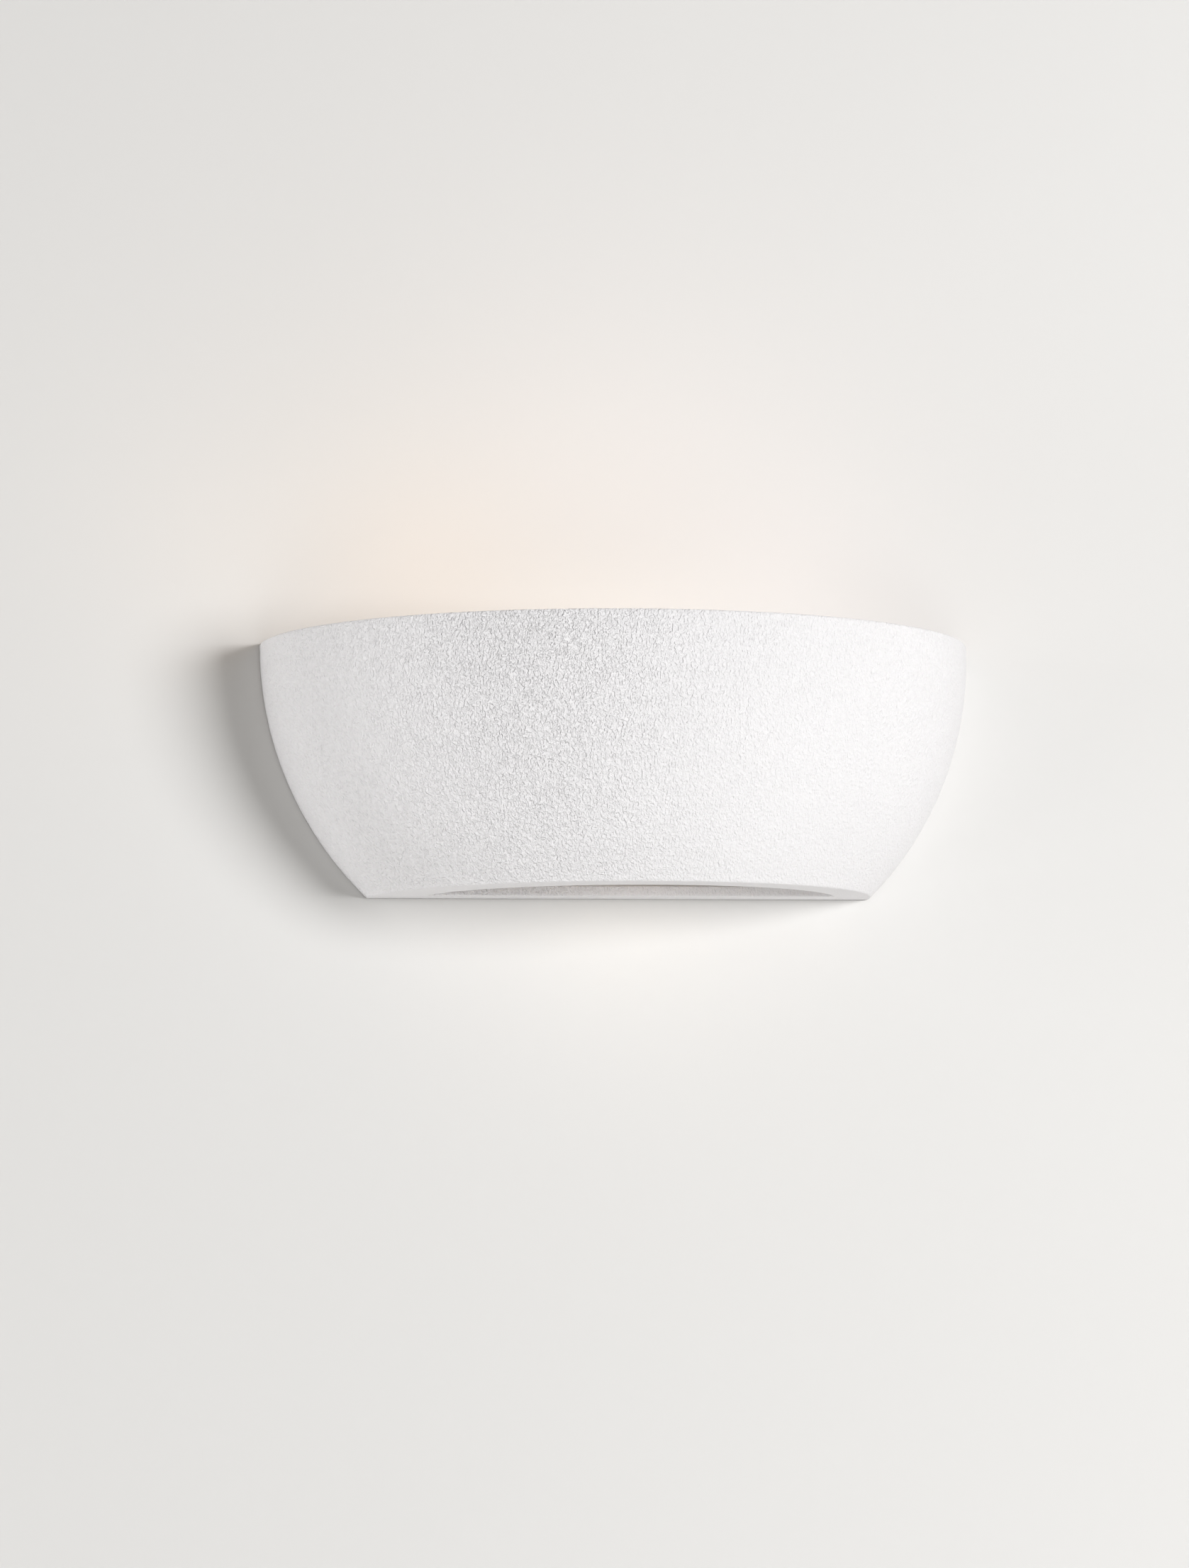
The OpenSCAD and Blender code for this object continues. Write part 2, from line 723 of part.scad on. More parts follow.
// A holder's ceramic: barrel and foot, cup for the cap, guide for the pin and chamber behind it
module holder(cup_x) {
    difference() {
        union() {
            axis_rod(barrel_d, holder_face, ear_in);
            across(ear_in - foot_t, ear_in) translate([-lamp_y, lamp_z]) {
                square([barrel_d, 2 * foot_screw_r], center = true);
                for (side = [-1, 1]) translate([0, side * foot_screw_r]) {
                    square([barrel_d, 2 * foot_tip - foot_step], center = true);
                    translate([0, side * foot_tip / 2])
                        square([barrel_d - foot_step, foot_tip], center = true);
                }
            }
        }
        axis_rod(cup_d, holder_face - over, cup_x);
        axis_rod(pin_d + 2 * fit, cup_x - eps, chamber_x + eps);
        axis_rod(chamber_d, chamber_x, ear_in + over);
        for (side = [-1, 1]) rod_foot(foot_screw_d + 2 * loose, ear_in - foot_t - over, ear_in + over, side);
    }
}

module fixed_holder() {
    color("antiquewhite") mirror([1, 0, 0]) holder(fixed_cup_x);
}

module sprung_holder() {
    color("antiquewhite") holder(sprung_cup_x);
}

module holder_screws() {
    color("silver") both_sides() for (side = [-1, 1]) difference() {
        union() {
            rod_foot(foot_screw_d, ear_in - foot_t - nut_t - thread_out, ear_out + eps, side);
            rod_foot(foot_head_d, ear_out, ear_out + head_t, side);
        }
        translate([
            ear_out + head_t - driver_w, -lamp_y - foot_head_d, lamp_z + side * foot_screw_r - driver_w / 2
        ])
            cube([head_t, 2 * foot_head_d, driver_w]);
    }
}

module holder_nuts() {
    color("silver") both_sides() for (side = [-1, 1]) difference() {
        translate([ear_in - foot_t - nut_t, -lamp_y, lamp_z + side * foot_screw_r]) rotate([0, 90, 0])
            rotate(30) cylinder(d = foot_nut_d, h = nut_t, $fn = 6);
        rod_foot(foot_screw_d + 2 * fit, ear_in - foot_t - nut_t - over, ear_in, side);
    }
}

module rear_insulators() {
    color("linen") both_sides() difference() {
        union() {
            axis_rod(chamber_d - 2 * fit, ear_in - insulator_t, ear_in);
            axis_rod(spigot_d, ear_in - eps, ear_out + insulator_out);
        }
        axis_rod(terminal_d + 2 * fit, ear_in - over, ear_out + over);
    }
}

module fixed_contact() {
    color("goldenrod") mirror([1, 0, 0]) difference() {
        union() {
            axis_rod(pin_d, button_x, collar_x + eps);
            axis_rod(collar_d, collar_x, ear_in - insulator_t);
            axis_rod(terminal_d, ear_in - insulator_t - eps, term_end);
        }
        rod_y(core_d + 2 * fit, term_side - over, lamp_y + eps, wire_entry_x, lamp_z);
    }
}

module rear_terminal() {
    color("goldenrod") difference() {
        union() {
            axis_rod(collar_d, term_flange_x, term_flange_x + term_flange_t);
            axis_rod(terminal_d, term_flange_x, term_end);
        }
        axis_rod(tail_d + 2 * fit, term_flange_x - over, term_bore_end);
        rod_y(core_d + 2 * fit, term_side - over, lamp_y + eps, wire_entry_x, lamp_z);
    }
}

module contact_plunger() {
    color("darkgoldenrod") {
        axis_rod(pin_d, button_x, collar_x + eps);
        axis_rod(collar_d, collar_x, collar_x + collar_t);
        axis_rod(tail_d, collar_x + collar_t - eps, tail_end);
    }
}

// The contact spring: one helix between the plunger's collar and the rear terminal
spring_rings = 8;
spring_sides = 6;
spring_len = spring_to - spring_from - spring_wire;
function spring_point(a) = [
    spring_from + spring_wire / 2 + spring_len * a / (360 * spring_turns),
    -lamp_y + spring_r * cos(a), lamp_z + spring_r * sin(a)
];
spring_path = [for (i = [0:spring_turns * spring_rings]) spring_point(360 * i / spring_rings)];
spring_gap = min([
    for (i = [0:len(spring_path) - 1 - spring_rings / 2], j = [i + spring_rings / 2:len(spring_path) - 1])
        norm(spring_path[i] - spring_path[j]) - spring_wire
]);
echo(contact_spring_least_gap = spring_gap);

module contact_spring() {
    color("gray") tube(spring_path, spring_wire, spring_sides);
}

module lamp_tube() {
    color("lightcyan", 0.5) difference() {
        union() {
            axis_rod(tube_d, -tube_end, tube_end);
            translate([-tube_end - pinch_l, -lamp_y - pinch_w / 2, lamp_z - pinch_t / 2])
                cube([2 * (tube_end + pinch_l), pinch_w, pinch_t]);
        }
        axis_rod(tube_bore, -tube_end + dome_t, tube_end - dome_t);
    }
}

module lamp_caps() {
    color("white") both_sides() difference() {
        axis_rod(cap_d, cap_end - cap_l, cap_end);
        axis_rod(recess_d, cap_end - recess_l - button_t, cap_end + over);
        translate([0, -lamp_y - pinch_w / 2 - loose, lamp_z - pinch_t / 2 - loose])
            cube([tube_end + pinch_l + loose, pinch_w + 2 * loose, pinch_t + 2 * loose]);
    }
}

module lamp_contacts() {
    color("silver") both_sides() axis_rod(recess_d - 2 * fit, button_x - button_t, button_x);
}

module lamp_filament() {
    inner_end = tube_end - dome_t;
    coil_end = inner_end - lead_l;
    ring_d = tube_bore - 2 * loose;
    half_post = tube_bore / 2 - support_w;
    color("gray") {
        axis_rod(coil_d, -coil_end, coil_end);
        axis_rod(lead_d, -inner_end, inner_end);
        for (x = [-coil_end / 2, 0, coil_end / 2]) {
            difference() {
                axis_rod(ring_d, x - support_w / 2, x + support_w / 2);
                axis_rod(ring_d - 2 * support_w, x - over, x + over);
                translate([x - over, -lamp_y - tube_d, lamp_z + seat])
                    cube([2 * over, 2 * tube_d, tube_d]);
            }
            rod_y(support_w, lamp_y - half_post, lamp_y + half_post, x, lamp_z);
        }
    }
}

module hanging_strap() {
    color("silver") difference() {
        union() {
            translate([-strap_reach, -strap_front, strap_base]) cube([2 * strap_reach, strap_t, strap_h]);
            both_sides() translate([strap_reach - strap_t, -flange_reach, strap_base])
                cube([strap_t, flange_reach - strap_back, strap_h]);
        }
        both_sides() {
            translate([hook_x - hook_w / 2 - 0.5, -strap_front - over, strap_base - over])
                cube([hook_w + 1, strap_t + 2 * over, notch_d + over]);
            rod_x(screw_d + 2 * loose, strap_reach - over, strap_reach + over, -boss_y, boss_z);
        }
        rod_y(nut_barrel_d, strap_back - over, strap_front + over, 0, strap_mid);
    }
}

module strap_inserts() {
    color("goldenrod") both_sides() difference() {
        rod_x(insert_d, strap_reach, strap_reach + insert_l, -boss_y, boss_z);
        rod_x(screw_d + 2 * fit, strap_reach - over, strap_reach + insert_l + over, -boss_y, boss_z);
    }
}

module strap_screws() {
    face = strap_reach - strap_t;
    color("silver") both_sides() difference() {
        union() {
            rod_x(screw_d, face - eps, face + strap_screw_l, -boss_y, boss_z);
            rod_x(strap_head_d, face - strap_head_t, face, -boss_y, boss_z);
        }
        for (turn = [0, 90]) translate([face - strap_head_t, -boss_y, boss_z]) rotate([turn, 0, 0])
            translate([-cross_deep, -cross_l / 2, -driver_w / 2]) cube([2 * cross_deep, cross_l, driver_w]);
    }
}

module clamp_nut() {
    color("silver") difference() {
        union() {
            rod_y(nut_barrel_d - 2 * fit, strap_back, strap_front + eps, 0, strap_mid);
            rod_y(nut_flange_d, strap_front, strap_front + nut_flange_t, 0, strap_mid);
        }
        rod_y(screw_d + 2 * fit, strap_back - over, strap_front + over, 0, strap_mid);
    }
}

module clamp_screw() {
    head = strap_front + nut_flange_t + knob_gap;
    color("silver") difference() {
        union() {
            rod_y(screw_d, sheet_t, head + eps, 0, strap_mid);
            rod_y(knob_d, head, head + knob_l, 0, strap_mid);
        }
        for (i = [1:knurls]) translate([0, -head - knob_l - over, strap_mid]) rotate([0, 360 * i / knurls, 0])
            translate([knob_d / 2 + seat, 0, 0]) rotate([-90, 0, 0])
                cylinder(d = knurl_d, h = knob_l + over - 0.8, $fn = 16);
        translate([-knob_d, -head - knob_l - over, strap_mid - coin_w / 2])
            cube([2 * knob_d, coin_deep + over, coin_w]);
    }
}

wall_bracket();
cable_grommet();
terminal_housing();
terminal_inserts();
terminal_screws();
terminal_fixing_screw();
earth_stud();
earth_tag();
earth_washer();
earth_nut();
earth_wire();
live_wire();
neutral_wire();
wire_bushes();
reflector();
reflector_rivets();
fixed_holder();
sprung_holder();
holder_screws();
holder_nuts();
rear_insulators();
fixed_contact();
rear_terminal();
contact_spring();
contact_plunger();
lamp_tube();
lamp_caps();
lamp_contacts();
lamp_filament();
shade();
hanging_strap();
strap_inserts();
strap_screws();
clamp_nut();
clamp_screw();
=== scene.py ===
"""Half-bowl ceramic wall uplighter: its finished looks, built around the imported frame."""

import json
import logging
import math
from dataclasses import dataclass
from enum import Enum
from typing import Sequence

import bmesh
import bpy
import numpy as np
from mathutils import Matrix, Vector
from mathutils.geometry import tessellate_polygon


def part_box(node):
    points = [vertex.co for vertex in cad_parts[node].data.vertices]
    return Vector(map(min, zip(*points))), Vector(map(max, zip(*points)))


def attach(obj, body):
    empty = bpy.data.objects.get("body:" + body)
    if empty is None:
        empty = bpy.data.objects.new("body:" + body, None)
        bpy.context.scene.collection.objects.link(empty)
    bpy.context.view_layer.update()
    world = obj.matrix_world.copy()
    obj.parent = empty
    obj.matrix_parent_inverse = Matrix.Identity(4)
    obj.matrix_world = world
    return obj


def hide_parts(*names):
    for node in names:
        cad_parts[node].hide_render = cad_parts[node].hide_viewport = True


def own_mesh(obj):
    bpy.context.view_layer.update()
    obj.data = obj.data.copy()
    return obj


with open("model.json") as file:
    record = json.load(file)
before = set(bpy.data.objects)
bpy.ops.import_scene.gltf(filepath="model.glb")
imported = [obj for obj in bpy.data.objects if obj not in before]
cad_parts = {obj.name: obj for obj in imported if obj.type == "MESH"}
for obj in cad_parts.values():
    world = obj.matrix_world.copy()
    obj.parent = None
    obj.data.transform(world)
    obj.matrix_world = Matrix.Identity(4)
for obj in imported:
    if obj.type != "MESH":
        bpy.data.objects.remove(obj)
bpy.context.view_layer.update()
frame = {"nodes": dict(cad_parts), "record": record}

LOG = logging.getLogger("uplighter")
MM = 0.001
SAND_STRETCH = (1.12, 1.12, 0.74)
SAND_LEVEL = 0.64
NOISE_ROUGHNESS = 0.55
WELD = 0.005 * MM
FLAT_ANGLE = math.radians(0.5)
CREASE_ANGLE = math.radians(29.0)
FULL_TURN = 2 * math.pi
FORWARD = (0, -1, 0)
GROOVE_GAP, GROOVE_GAIN = 0.35, 1.54
LAMP_Y, LAMP_Z = -50.0, 10.0

Mesh, Object, Material = bpy.types.Mesh, bpy.types.Object, bpy.types.Material
Node, Socket = bpy.types.Node, bpy.types.NodeSocket
Colour = tuple[float, float, float]
Point = tuple[float, float, float]


class Body(Enum):
    """The frame's bodies that pieces ride on."""

    BRACKET = "bracket"
    LAMP = "lamp"
    SHADE = "shade"
    CLAMP = "clamp"


class Side(Enum):
    """A side of the object, as seen from its front."""

    LEFT = -1
    RIGHT = 1


class Reach(Enum):
    """What a studio light lights, as the link state of the wall."""

    BOTH = ""
    WALL = "INCLUDE"
    OBJECT = "EXCLUDE"


class Input(Enum):
    """Kinds of named inputs of a geometry tree."""

    LENGTH = "NodeSocketFloat"
    COUNT = "NodeSocketInt"
    MATERIAL = "NodeSocketMaterial"
    OBJECT = "NodeSocketObject"
    PLACE = "NodeSocketVector"


# Node trees


class Field:
    """A number in a node tree that is reckoned with like a plain number."""

    def __init__(self, tree: bpy.types.NodeTree, socket: Socket) -> None:
        """Keeps the tree and the socket that gives the number."""
        self.tree = tree
        self.socket = socket

    def math(self, operation: str, *others: "Field | float", clamp: bool = False) -> "Field":
        """Adds one Math node.

        Args:
            operation: the Math node's operation.
            others: its second and third values.
            clamp: whether the result is held between 0 and 1.

        Returns:
            The result.
        """
        node = self.tree.nodes.new("ShaderNodeMath")
        node.operation = operation
        node.use_clamp = clamp
        for socket, value in zip(node.inputs, (self, *others)):
            if isinstance(value, Field):
                self.tree.links.new(value.socket, socket)
            else:
                socket.default_value = value
        return Field(self.tree, node.outputs[0])

    def __add__(self, other: "Field | float") -> "Field":
        """Sum."""
        return self.math("ADD", other)

    def __sub__(self, other: "Field | float") -> "Field":
        """Difference."""
        return self.math("SUBTRACT", other)

    def __mul__(self, other: "Field | float") -> "Field":
        """Product."""
        return self.math("MULTIPLY", other)


class Tree:
    """A node tree that is built by short calls."""

    tree: bpy.types.NodeTree

    def node(self, kind: str, inputs: dict | None = None, **settings: object) -> Node:
        """Adds a node.

        Args:
            kind: its type.
            inputs: socket name or number, and a value, a socket or a field to put there.
            settings: its own settings.

        Returns:
            The node.
        """
        made = self.tree.nodes.new(kind)
        for key, value in settings.items():
            setattr(made, key, value)
        for key, value in (inputs or {}).items():
            self.fill(made.inputs[key], value)
        return made

    def out(self, kind: str, inputs: dict | None = None, output: "int | str" = 0, **settings: object) -> Socket:
        """Adds a node, as node() does, and returns one of its outputs."""
        return self.node(kind, inputs, **settings).outputs[output]

    def field(self, kind: str, inputs: dict | None = None, output: "int | str" = 0, **settings: object) -> Field:
        """Adds a node, as node() does, and returns one of its outputs as a field."""
        return Field(self.tree, self.out(kind, inputs, output, **settings))

    def fill(self, socket: Socket, value: object) -> None:
        """Puts a value, a colour, a socket or a field into a socket."""
        value = value.socket if isinstance(value, Field) else value
        if isinstance(value, Socket):
            self.tree.links.new(value, socket)
        elif socket.type == "RGBA":
            socket.default_value = (*value[:3], 1.0)
        else:
            socket.default_value = value


class GeometryTree(Tree):
    """A Geometry Nodes tree with named inputs, and the modifier that runs it."""

    def __init__(self, name: str) -> None:
        """Makes an empty tree with a geometry input and output."""
        self.tree = bpy.data.node_groups.new(name, "GeometryNodeTree")
        for way in ("INPUT", "OUTPUT"):
            self.tree.interface.new_socket("Geometry", in_out=way, socket_type="NodeSocketGeometry")
        self.start = self.tree.nodes.new("NodeGroupInput")
        self.end = self.tree.nodes.new("NodeGroupOutput")
        self.identifiers: dict[str, str] = {}

    def add_input(self, name: str, kind: Input) -> Socket:
        """Adds a named input and returns the socket that gives it inside the tree."""
        item = self.tree.interface.new_socket(name, in_out="INPUT", socket_type=kind.value)
        self.identifiers[name] = item.identifier
        return next(s for s in self.start.outputs if s.identifier == item.identifier)

    def lengths(self, *names: str) -> list[Field]:
        """Adds named lengths and returns them as fields."""
        return [Field(self.tree, self.add_input(name, Input.LENGTH)) for name in names]

    def vector(self, operation: str, inputs: dict) -> Socket:
        """Adds one Vector Math node and returns its result."""
        return self.out("ShaderNodeVectorMath", inputs, operation=operation)

    def pushed(self, direction: Socket, length: Field) -> Socket:
        """The geometry that comes in, with its points moved by a length along a direction."""
        offset = self.vector("SCALE", {0: direction, "Scale": length})
        return self.out("GeometryNodeSetPosition", {"Geometry": self.start.outputs[0], "Offset": offset})

    def finish(self, geometry: Socket) -> None:
        """Ends the tree in Realize Instances and Set Material."""
        real = self.out("GeometryNodeRealizeInstances", {"Geometry": geometry})
        material = self.add_input("Material", Input.MATERIAL)
        dressed = self.out("GeometryNodeSetMaterial", {"Geometry": real, "Material": material})
        self.tree.links.new(dressed, self.end.inputs[0])

    def bake(self, name: str, source: Mesh, **values: object) -> Object:
        """Runs the tree on a mesh and keeps the result as a plain mesh.

        Args:
            name: name of the new piece.
            source: mesh that goes in.
            values: the named inputs, with spaces written as underscores.

        Returns:
            A new object with no modifier.
        """
        carrier = add_object(name + "_carrier", source)
        modifier = carrier.modifiers.new(name, "NODES")
        modifier.node_group = self.tree
        for key, value in values.items():
            modifier[self.identifiers[key.replace("_", " ").capitalize()]] = value
        mesh = evaluated_mesh(carrier)
        carrier.modifiers.clear()
        bpy.data.objects.remove(carrier)
        mesh.name = name
        return link(name, mesh)


def add_object(name: str, data: bpy.types.ID) -> Object:
    """Puts a mesh, a light or a camera in the scene as a new object."""
    made = bpy.data.objects.new(name, data)
    bpy.context.scene.collection.objects.link(made)
    return made


def link(name: str, mesh: Mesh, smooth: bool = True, crease: float | None = None) -> Object:
    """Puts a mesh in the scene as a new object at the origin.

    Args:
        name: its name.
        mesh: its mesh.
        smooth: whether its faces are shaded smooth.
        crease: the angle in radians above which an edge stays sharp, if any does.

    Returns:
        The object.
    """
    piece = add_object(name, mesh)
    mesh.polygons.foreach_set("use_smooth", [smooth] * len(mesh.polygons))
    if crease:
        mesh.set_sharp_from_angle(angle=crease)
    return piece


def grain_tree() -> GeometryTree:
    """The tree that raises a cast skin's sandy lumps, where the attribute sand lets it.

    Returns:
        A tree with the inputs Lump height, Lump size, Grain height, Grain size and Material.
    """
    made = GeometryTree("cast_grain")
    lump, lump_size, grain, grain_size = made.lengths("Lump height", "Lump size", "Grain height", "Grain size")
    place = made.vector("MULTIPLY", {0: made.out("GeometryNodeInputPosition"), 1: SAND_STRETCH})
    sand = made.field("GeometryNodeInputNamedAttribute", {"Name": "sand"}, "Attribute", data_type="FLOAT")

    def noise(size: Field, detail: float, shift: float) -> Field:
        """Noise with features about size across, mostly below 0 so that it stays inside the skin."""
        moved = made.vector("ADD", {0: place, 1: (shift, shift, shift)})
        scale = made.out("ShaderNodeMath", {0: 1.0, 1: size}, operation="DIVIDE")
        texture = {"Vector": moved, "Scale": scale, "Detail": detail, "Roughness": NOISE_ROUGHNESS}
        return made.field("ShaderNodeTexNoise", texture) - SAND_LEVEL

    height = (noise(lump_size, 2.0, 1.7) * lump + noise(grain_size, 1.0, 4.1) * grain) * sand
    made.finish(made.pushed(made.out("GeometryNodeInputNormal"), height))
    return made


class MaterialTree(Tree):
    """The node tree of one procedural material, on Object coordinates."""

    def __init__(self, name: str) -> None:
        """Makes a material with a Principled shader and its output."""
        self.material = bpy.data.materials.new(name)
        self.material.use_nodes = True
        self.tree = self.material.node_tree
        self.shader = self.tree.nodes["Principled BSDF"]
        self.coordinates = self.tree.nodes.new("ShaderNodeTexCoord")

    def place(self, stretch: Point) -> Socket:
        """Object coordinates, stretched."""
        return self.out("ShaderNodeMapping", {"Vector": self.coordinates.outputs["Object"], "Scale": stretch})

    def noise(self, size: float, detail: float = 3.0, where: Socket | None = None) -> Field:
        """Noise whose features are about size across, in metres."""
        where = where or self.place((1.0, 1.0, 1.0))
        return self.field(
            "ShaderNodeTexNoise",
            {"Vector": where, "Scale": 1.0 / size, "Detail": detail, "Roughness": NOISE_ROUGHNESS},
        )

    def kept(self, name: str) -> Field:
        """A number that the mesh keeps as an attribute."""
        return self.field("ShaderNodeAttribute", output="Fac", attribute_name=name)

    def spread(self, value: Field, low: float, high: float, to_low: float = 0.0, to_high: float = 1.0) -> Field:
        """A field stretched from one range to another and held inside it."""
        ends = {"Value": value, "From Min": low, "From Max": high, "To Min": to_low, "To Max": to_high}
        return self.field("ShaderNodeMapRange", ends)

    def blend(self, share: Field, first: "Colour | Socket", second: Colour) -> Socket:
        """A mix of two colours."""
        return self.out("ShaderNodeMix", {0: share, 6: first, 7: second}, 2, data_type="RGBA")

    def bump(self, height: Field, distance: float, strength: float = 1.0) -> None:
        """Adds a bump on top of those that are there, with heights in metres."""
        node = self.node("ShaderNodeBump", {"Height": height, "Distance": distance, "Strength": strength})
        before = self.shader.inputs["Normal"].links
        if before:
            self.tree.links.new(before[0].from_socket, node.inputs["Normal"])
        self.tree.links.new(node.outputs[0], self.shader.inputs["Normal"])

    def set(self, **values: object) -> None:
        """Fills the shader's own sockets, with spaces written as underscores."""
        for key, value in values.items():
            self.fill(self.shader.inputs[key.replace("_", " ")], value)


# Finishes


@dataclass(frozen=True)
class CastCeramic:
    """Matt white cast ceramic: sandy where the attribute sand says so, smoother elsewhere, with painted shade in the
    low spots of its lumps.
    """

    colour: Colour = (0.866, 0.855, 0.868)
    shaded: Colour = (0.830, 0.820, 0.833)
    # painted shade: the colour that the lumps' low spots are darkened towards
    pit_shade: Colour = (0.60, 0.585, 0.585)
    cloud: float = 0.06
    lump: float = 0.0012
    grain: float = 0.0006
    lump_height: float = 0.00042
    grain_height: float = 0.00017

    def material(self, name: str) -> Material:
        """Makes the material."""
        made = MaterialTree(name)
        sand = made.kept("sand")
        tall = made.place(SAND_STRETCH)
        lump = made.noise(self.lump, 1.0, tall)
        grain = made.noise(self.grain, 1.0, tall)
        cloud = made.spread(made.noise(self.cloud, 4.0), 0.35, 0.7)
        # painted shade in the pits: darker where the lump noise sinks, more so where the skin is sandier
        hollow = made.spread(lump, 0.30, 0.40, 0.10, 0.0) * sand
        tone = made.blend(cloud * 0.4, self.colour, self.shaded)
        made.set(Base_Color=made.blend(hollow, tone, self.pit_shade))
        made.set(Roughness=made.spread(cloud, 0.0, 1.0, 0.74, 0.86))
        made.set(Specular_IOR_Level=0.25)
        made.bump(made.spread(lump, 0.34, 0.66) * (sand * 0.92 + 0.08), self.lump_height)
        made.bump(grain * (sand * 0.7 + 0.3), self.grain_height)
        return made.material


@dataclass(frozen=True)
class Surface:
    """A solid colour with clouds, a fine grain and specks, for coated, moulded and metal pieces."""

    colour: Colour
    second: Colour
    roughness: tuple[float, float] = (0.4, 0.55)
    metallic: float = 0.0
    specular: float = 0.5
    cloud: float = 0.02
    grain: float = 0.0008
    depth: float = 0.00006
    stretch: Point = (1.0, 1.0, 1.0)
    speck: Colour | None = None
    speck_size: float = 0.002
    speck_share: float = 0.30
    coat: float = 0.0

    def material(self, name: str) -> Material:
        """Makes the material."""
        made = MaterialTree(name)
        cloud = made.spread(made.noise(self.cloud, 4.0), 0.36, 0.66)
        tone = made.blend(cloud, self.colour, self.second)
        if self.speck:
            spots = made.spread(made.noise(self.speck_size, 2.0), self.speck_share, self.speck_share + 0.04, 1.0, 0.0)
            tone = made.blend(spots, tone, self.speck)
        made.set(Base_Color=tone, Metallic=self.metallic, Specular_IOR_Level=self.specular)
        lines = made.noise(self.grain, 3.0, made.place(self.stretch))
        made.set(Roughness=made.spread(lines * 0.6 + cloud * 0.4, 0.3, 0.7, *self.roughness))
        if self.coat:
            made.set(Coat_Weight=self.coat, Coat_Roughness=0.15)
        made.bump(lines, self.depth)
        return made.material


@dataclass(frozen=True)
class ClearGlass:
    """The lamp's quartz glass: clear, slightly wavy."""

    tint: Colour = (0.97, 0.985, 0.98)
    haze: Colour = (0.93, 0.95, 0.95)
    wave: float = 0.006
    relief: float = 0.0002

    def material(self, name: str) -> Material:
        """Makes the material."""
        made = MaterialTree(name)
        haze = made.spread(made.noise(self.wave, 3.0), 0.4, 0.7)
        made.set(Base_Color=made.blend(haze, self.tint, self.haze), Transmission_Weight=1.0, IOR=1.46)
        made.set(Roughness=made.spread(haze, 0.0, 1.0, 0.01, 0.06))
        made.bump(made.noise(self.wave, 2.0), self.relief)
        return made.material


@dataclass(frozen=True)
class GlowingWire:
    """Tungsten wire, glowing warm and a little unevenly."""

    metal: Colour = (0.30, 0.28, 0.27)
    glow: Colour = (1.0, 0.72, 0.38)
    bright: Colour = (1.0, 0.80, 0.52)
    strength: float = 9.0
    patch: float = 0.012
    grain: float = 0.0005
    relief: float = 0.00005

    def material(self, name: str) -> Material:
        """Makes the material."""
        made = MaterialTree(name)
        uneven = made.spread(made.noise(self.patch, 2.0), 0.3, 0.7)
        made.set(Base_Color=self.metal, Metallic=1.0, Roughness=0.4)
        made.set(Emission_Color=made.blend(uneven, self.glow, self.bright), Emission_Strength=self.strength)
        made.bump(made.noise(self.grain, 2.0), self.relief)
        return made.material


@dataclass(frozen=True)
class Sleeve:
    """A knitted glass-fibre sleeve, with a second colour in stripes where it has one, painted shade between its
    strands and darker worn patches.
    """

    colour: Colour
    strand_shade_and_wear: Colour
    stripe: Colour | None = None
    stripe_turn: float = 0.009
    knit: float = 0.0016
    strands: float = 8.0
    worn_size: float = 0.004
    worn: float = 0.35
    relief: float = 0.00018

    def material(self, name: str) -> Material:
        """Makes the material."""
        made = MaterialTree(name)
        along, across, upward = (made.kept(name) for name in ("along", "across", "upward"))
        turn = upward.math("ARCTAN2", across)
        step = along * (FULL_TURN / self.knit)
        knit = (step + turn * self.strands).math("SINE") * (step - turn * self.strands).math("SINE")
        # painted shade: the colour goes darker where the knit's relief sinks between strands
        tone = made.blend(made.spread(knit, -0.6, 0.6), self.strand_shade_and_wear, self.colour)
        if self.stripe:
            band = (along * (FULL_TURN / self.stripe_turn) + turn).math("SINE")
            tone = made.blend(made.spread(band + knit * 0.15, -0.08, 0.08), tone, self.stripe)
        # worn patches go towards the same darker tone
        worn = made.spread(made.noise(self.worn_size, 3.0), 0.3, 0.75)
        made.set(Base_Color=made.blend(worn * self.worn, tone, self.strand_shade_and_wear), Roughness=0.8)
        made.set(Specular_IOR_Level=0.25, Sheen_Weight=0.2)
        made.bump(knit, self.relief, 0.8)
        return made.material


def metal(
    colour: Colour, second: Colour, low: float, high: float, cloud: float = 0.006, grain: float = 0.0005,
    depth: float = 0.00003, stretch: Point = (1.0, 1.0, 1.0),
) -> Surface:
    """A metal surface with roughness between low and high."""
    return Surface(colour, second, (low, high), 1.0, cloud=cloud, grain=grain, depth=depth, stretch=stretch)


def speckled(
    colour: Colour, second: Colour, low: float, high: float, cloud: float, grain: float, depth: float,
    speck: Colour, speck_size: float, speck_share: float, coat: float = 0.0,
) -> Surface:
    """A moulded or fired surface with roughness between low and high, and with specks."""
    return Surface(colour, second, (low, high), cloud=cloud, grain=grain, depth=depth, speck=speck,
                   speck_size=speck_size, speck_share=speck_share, coat=coat)


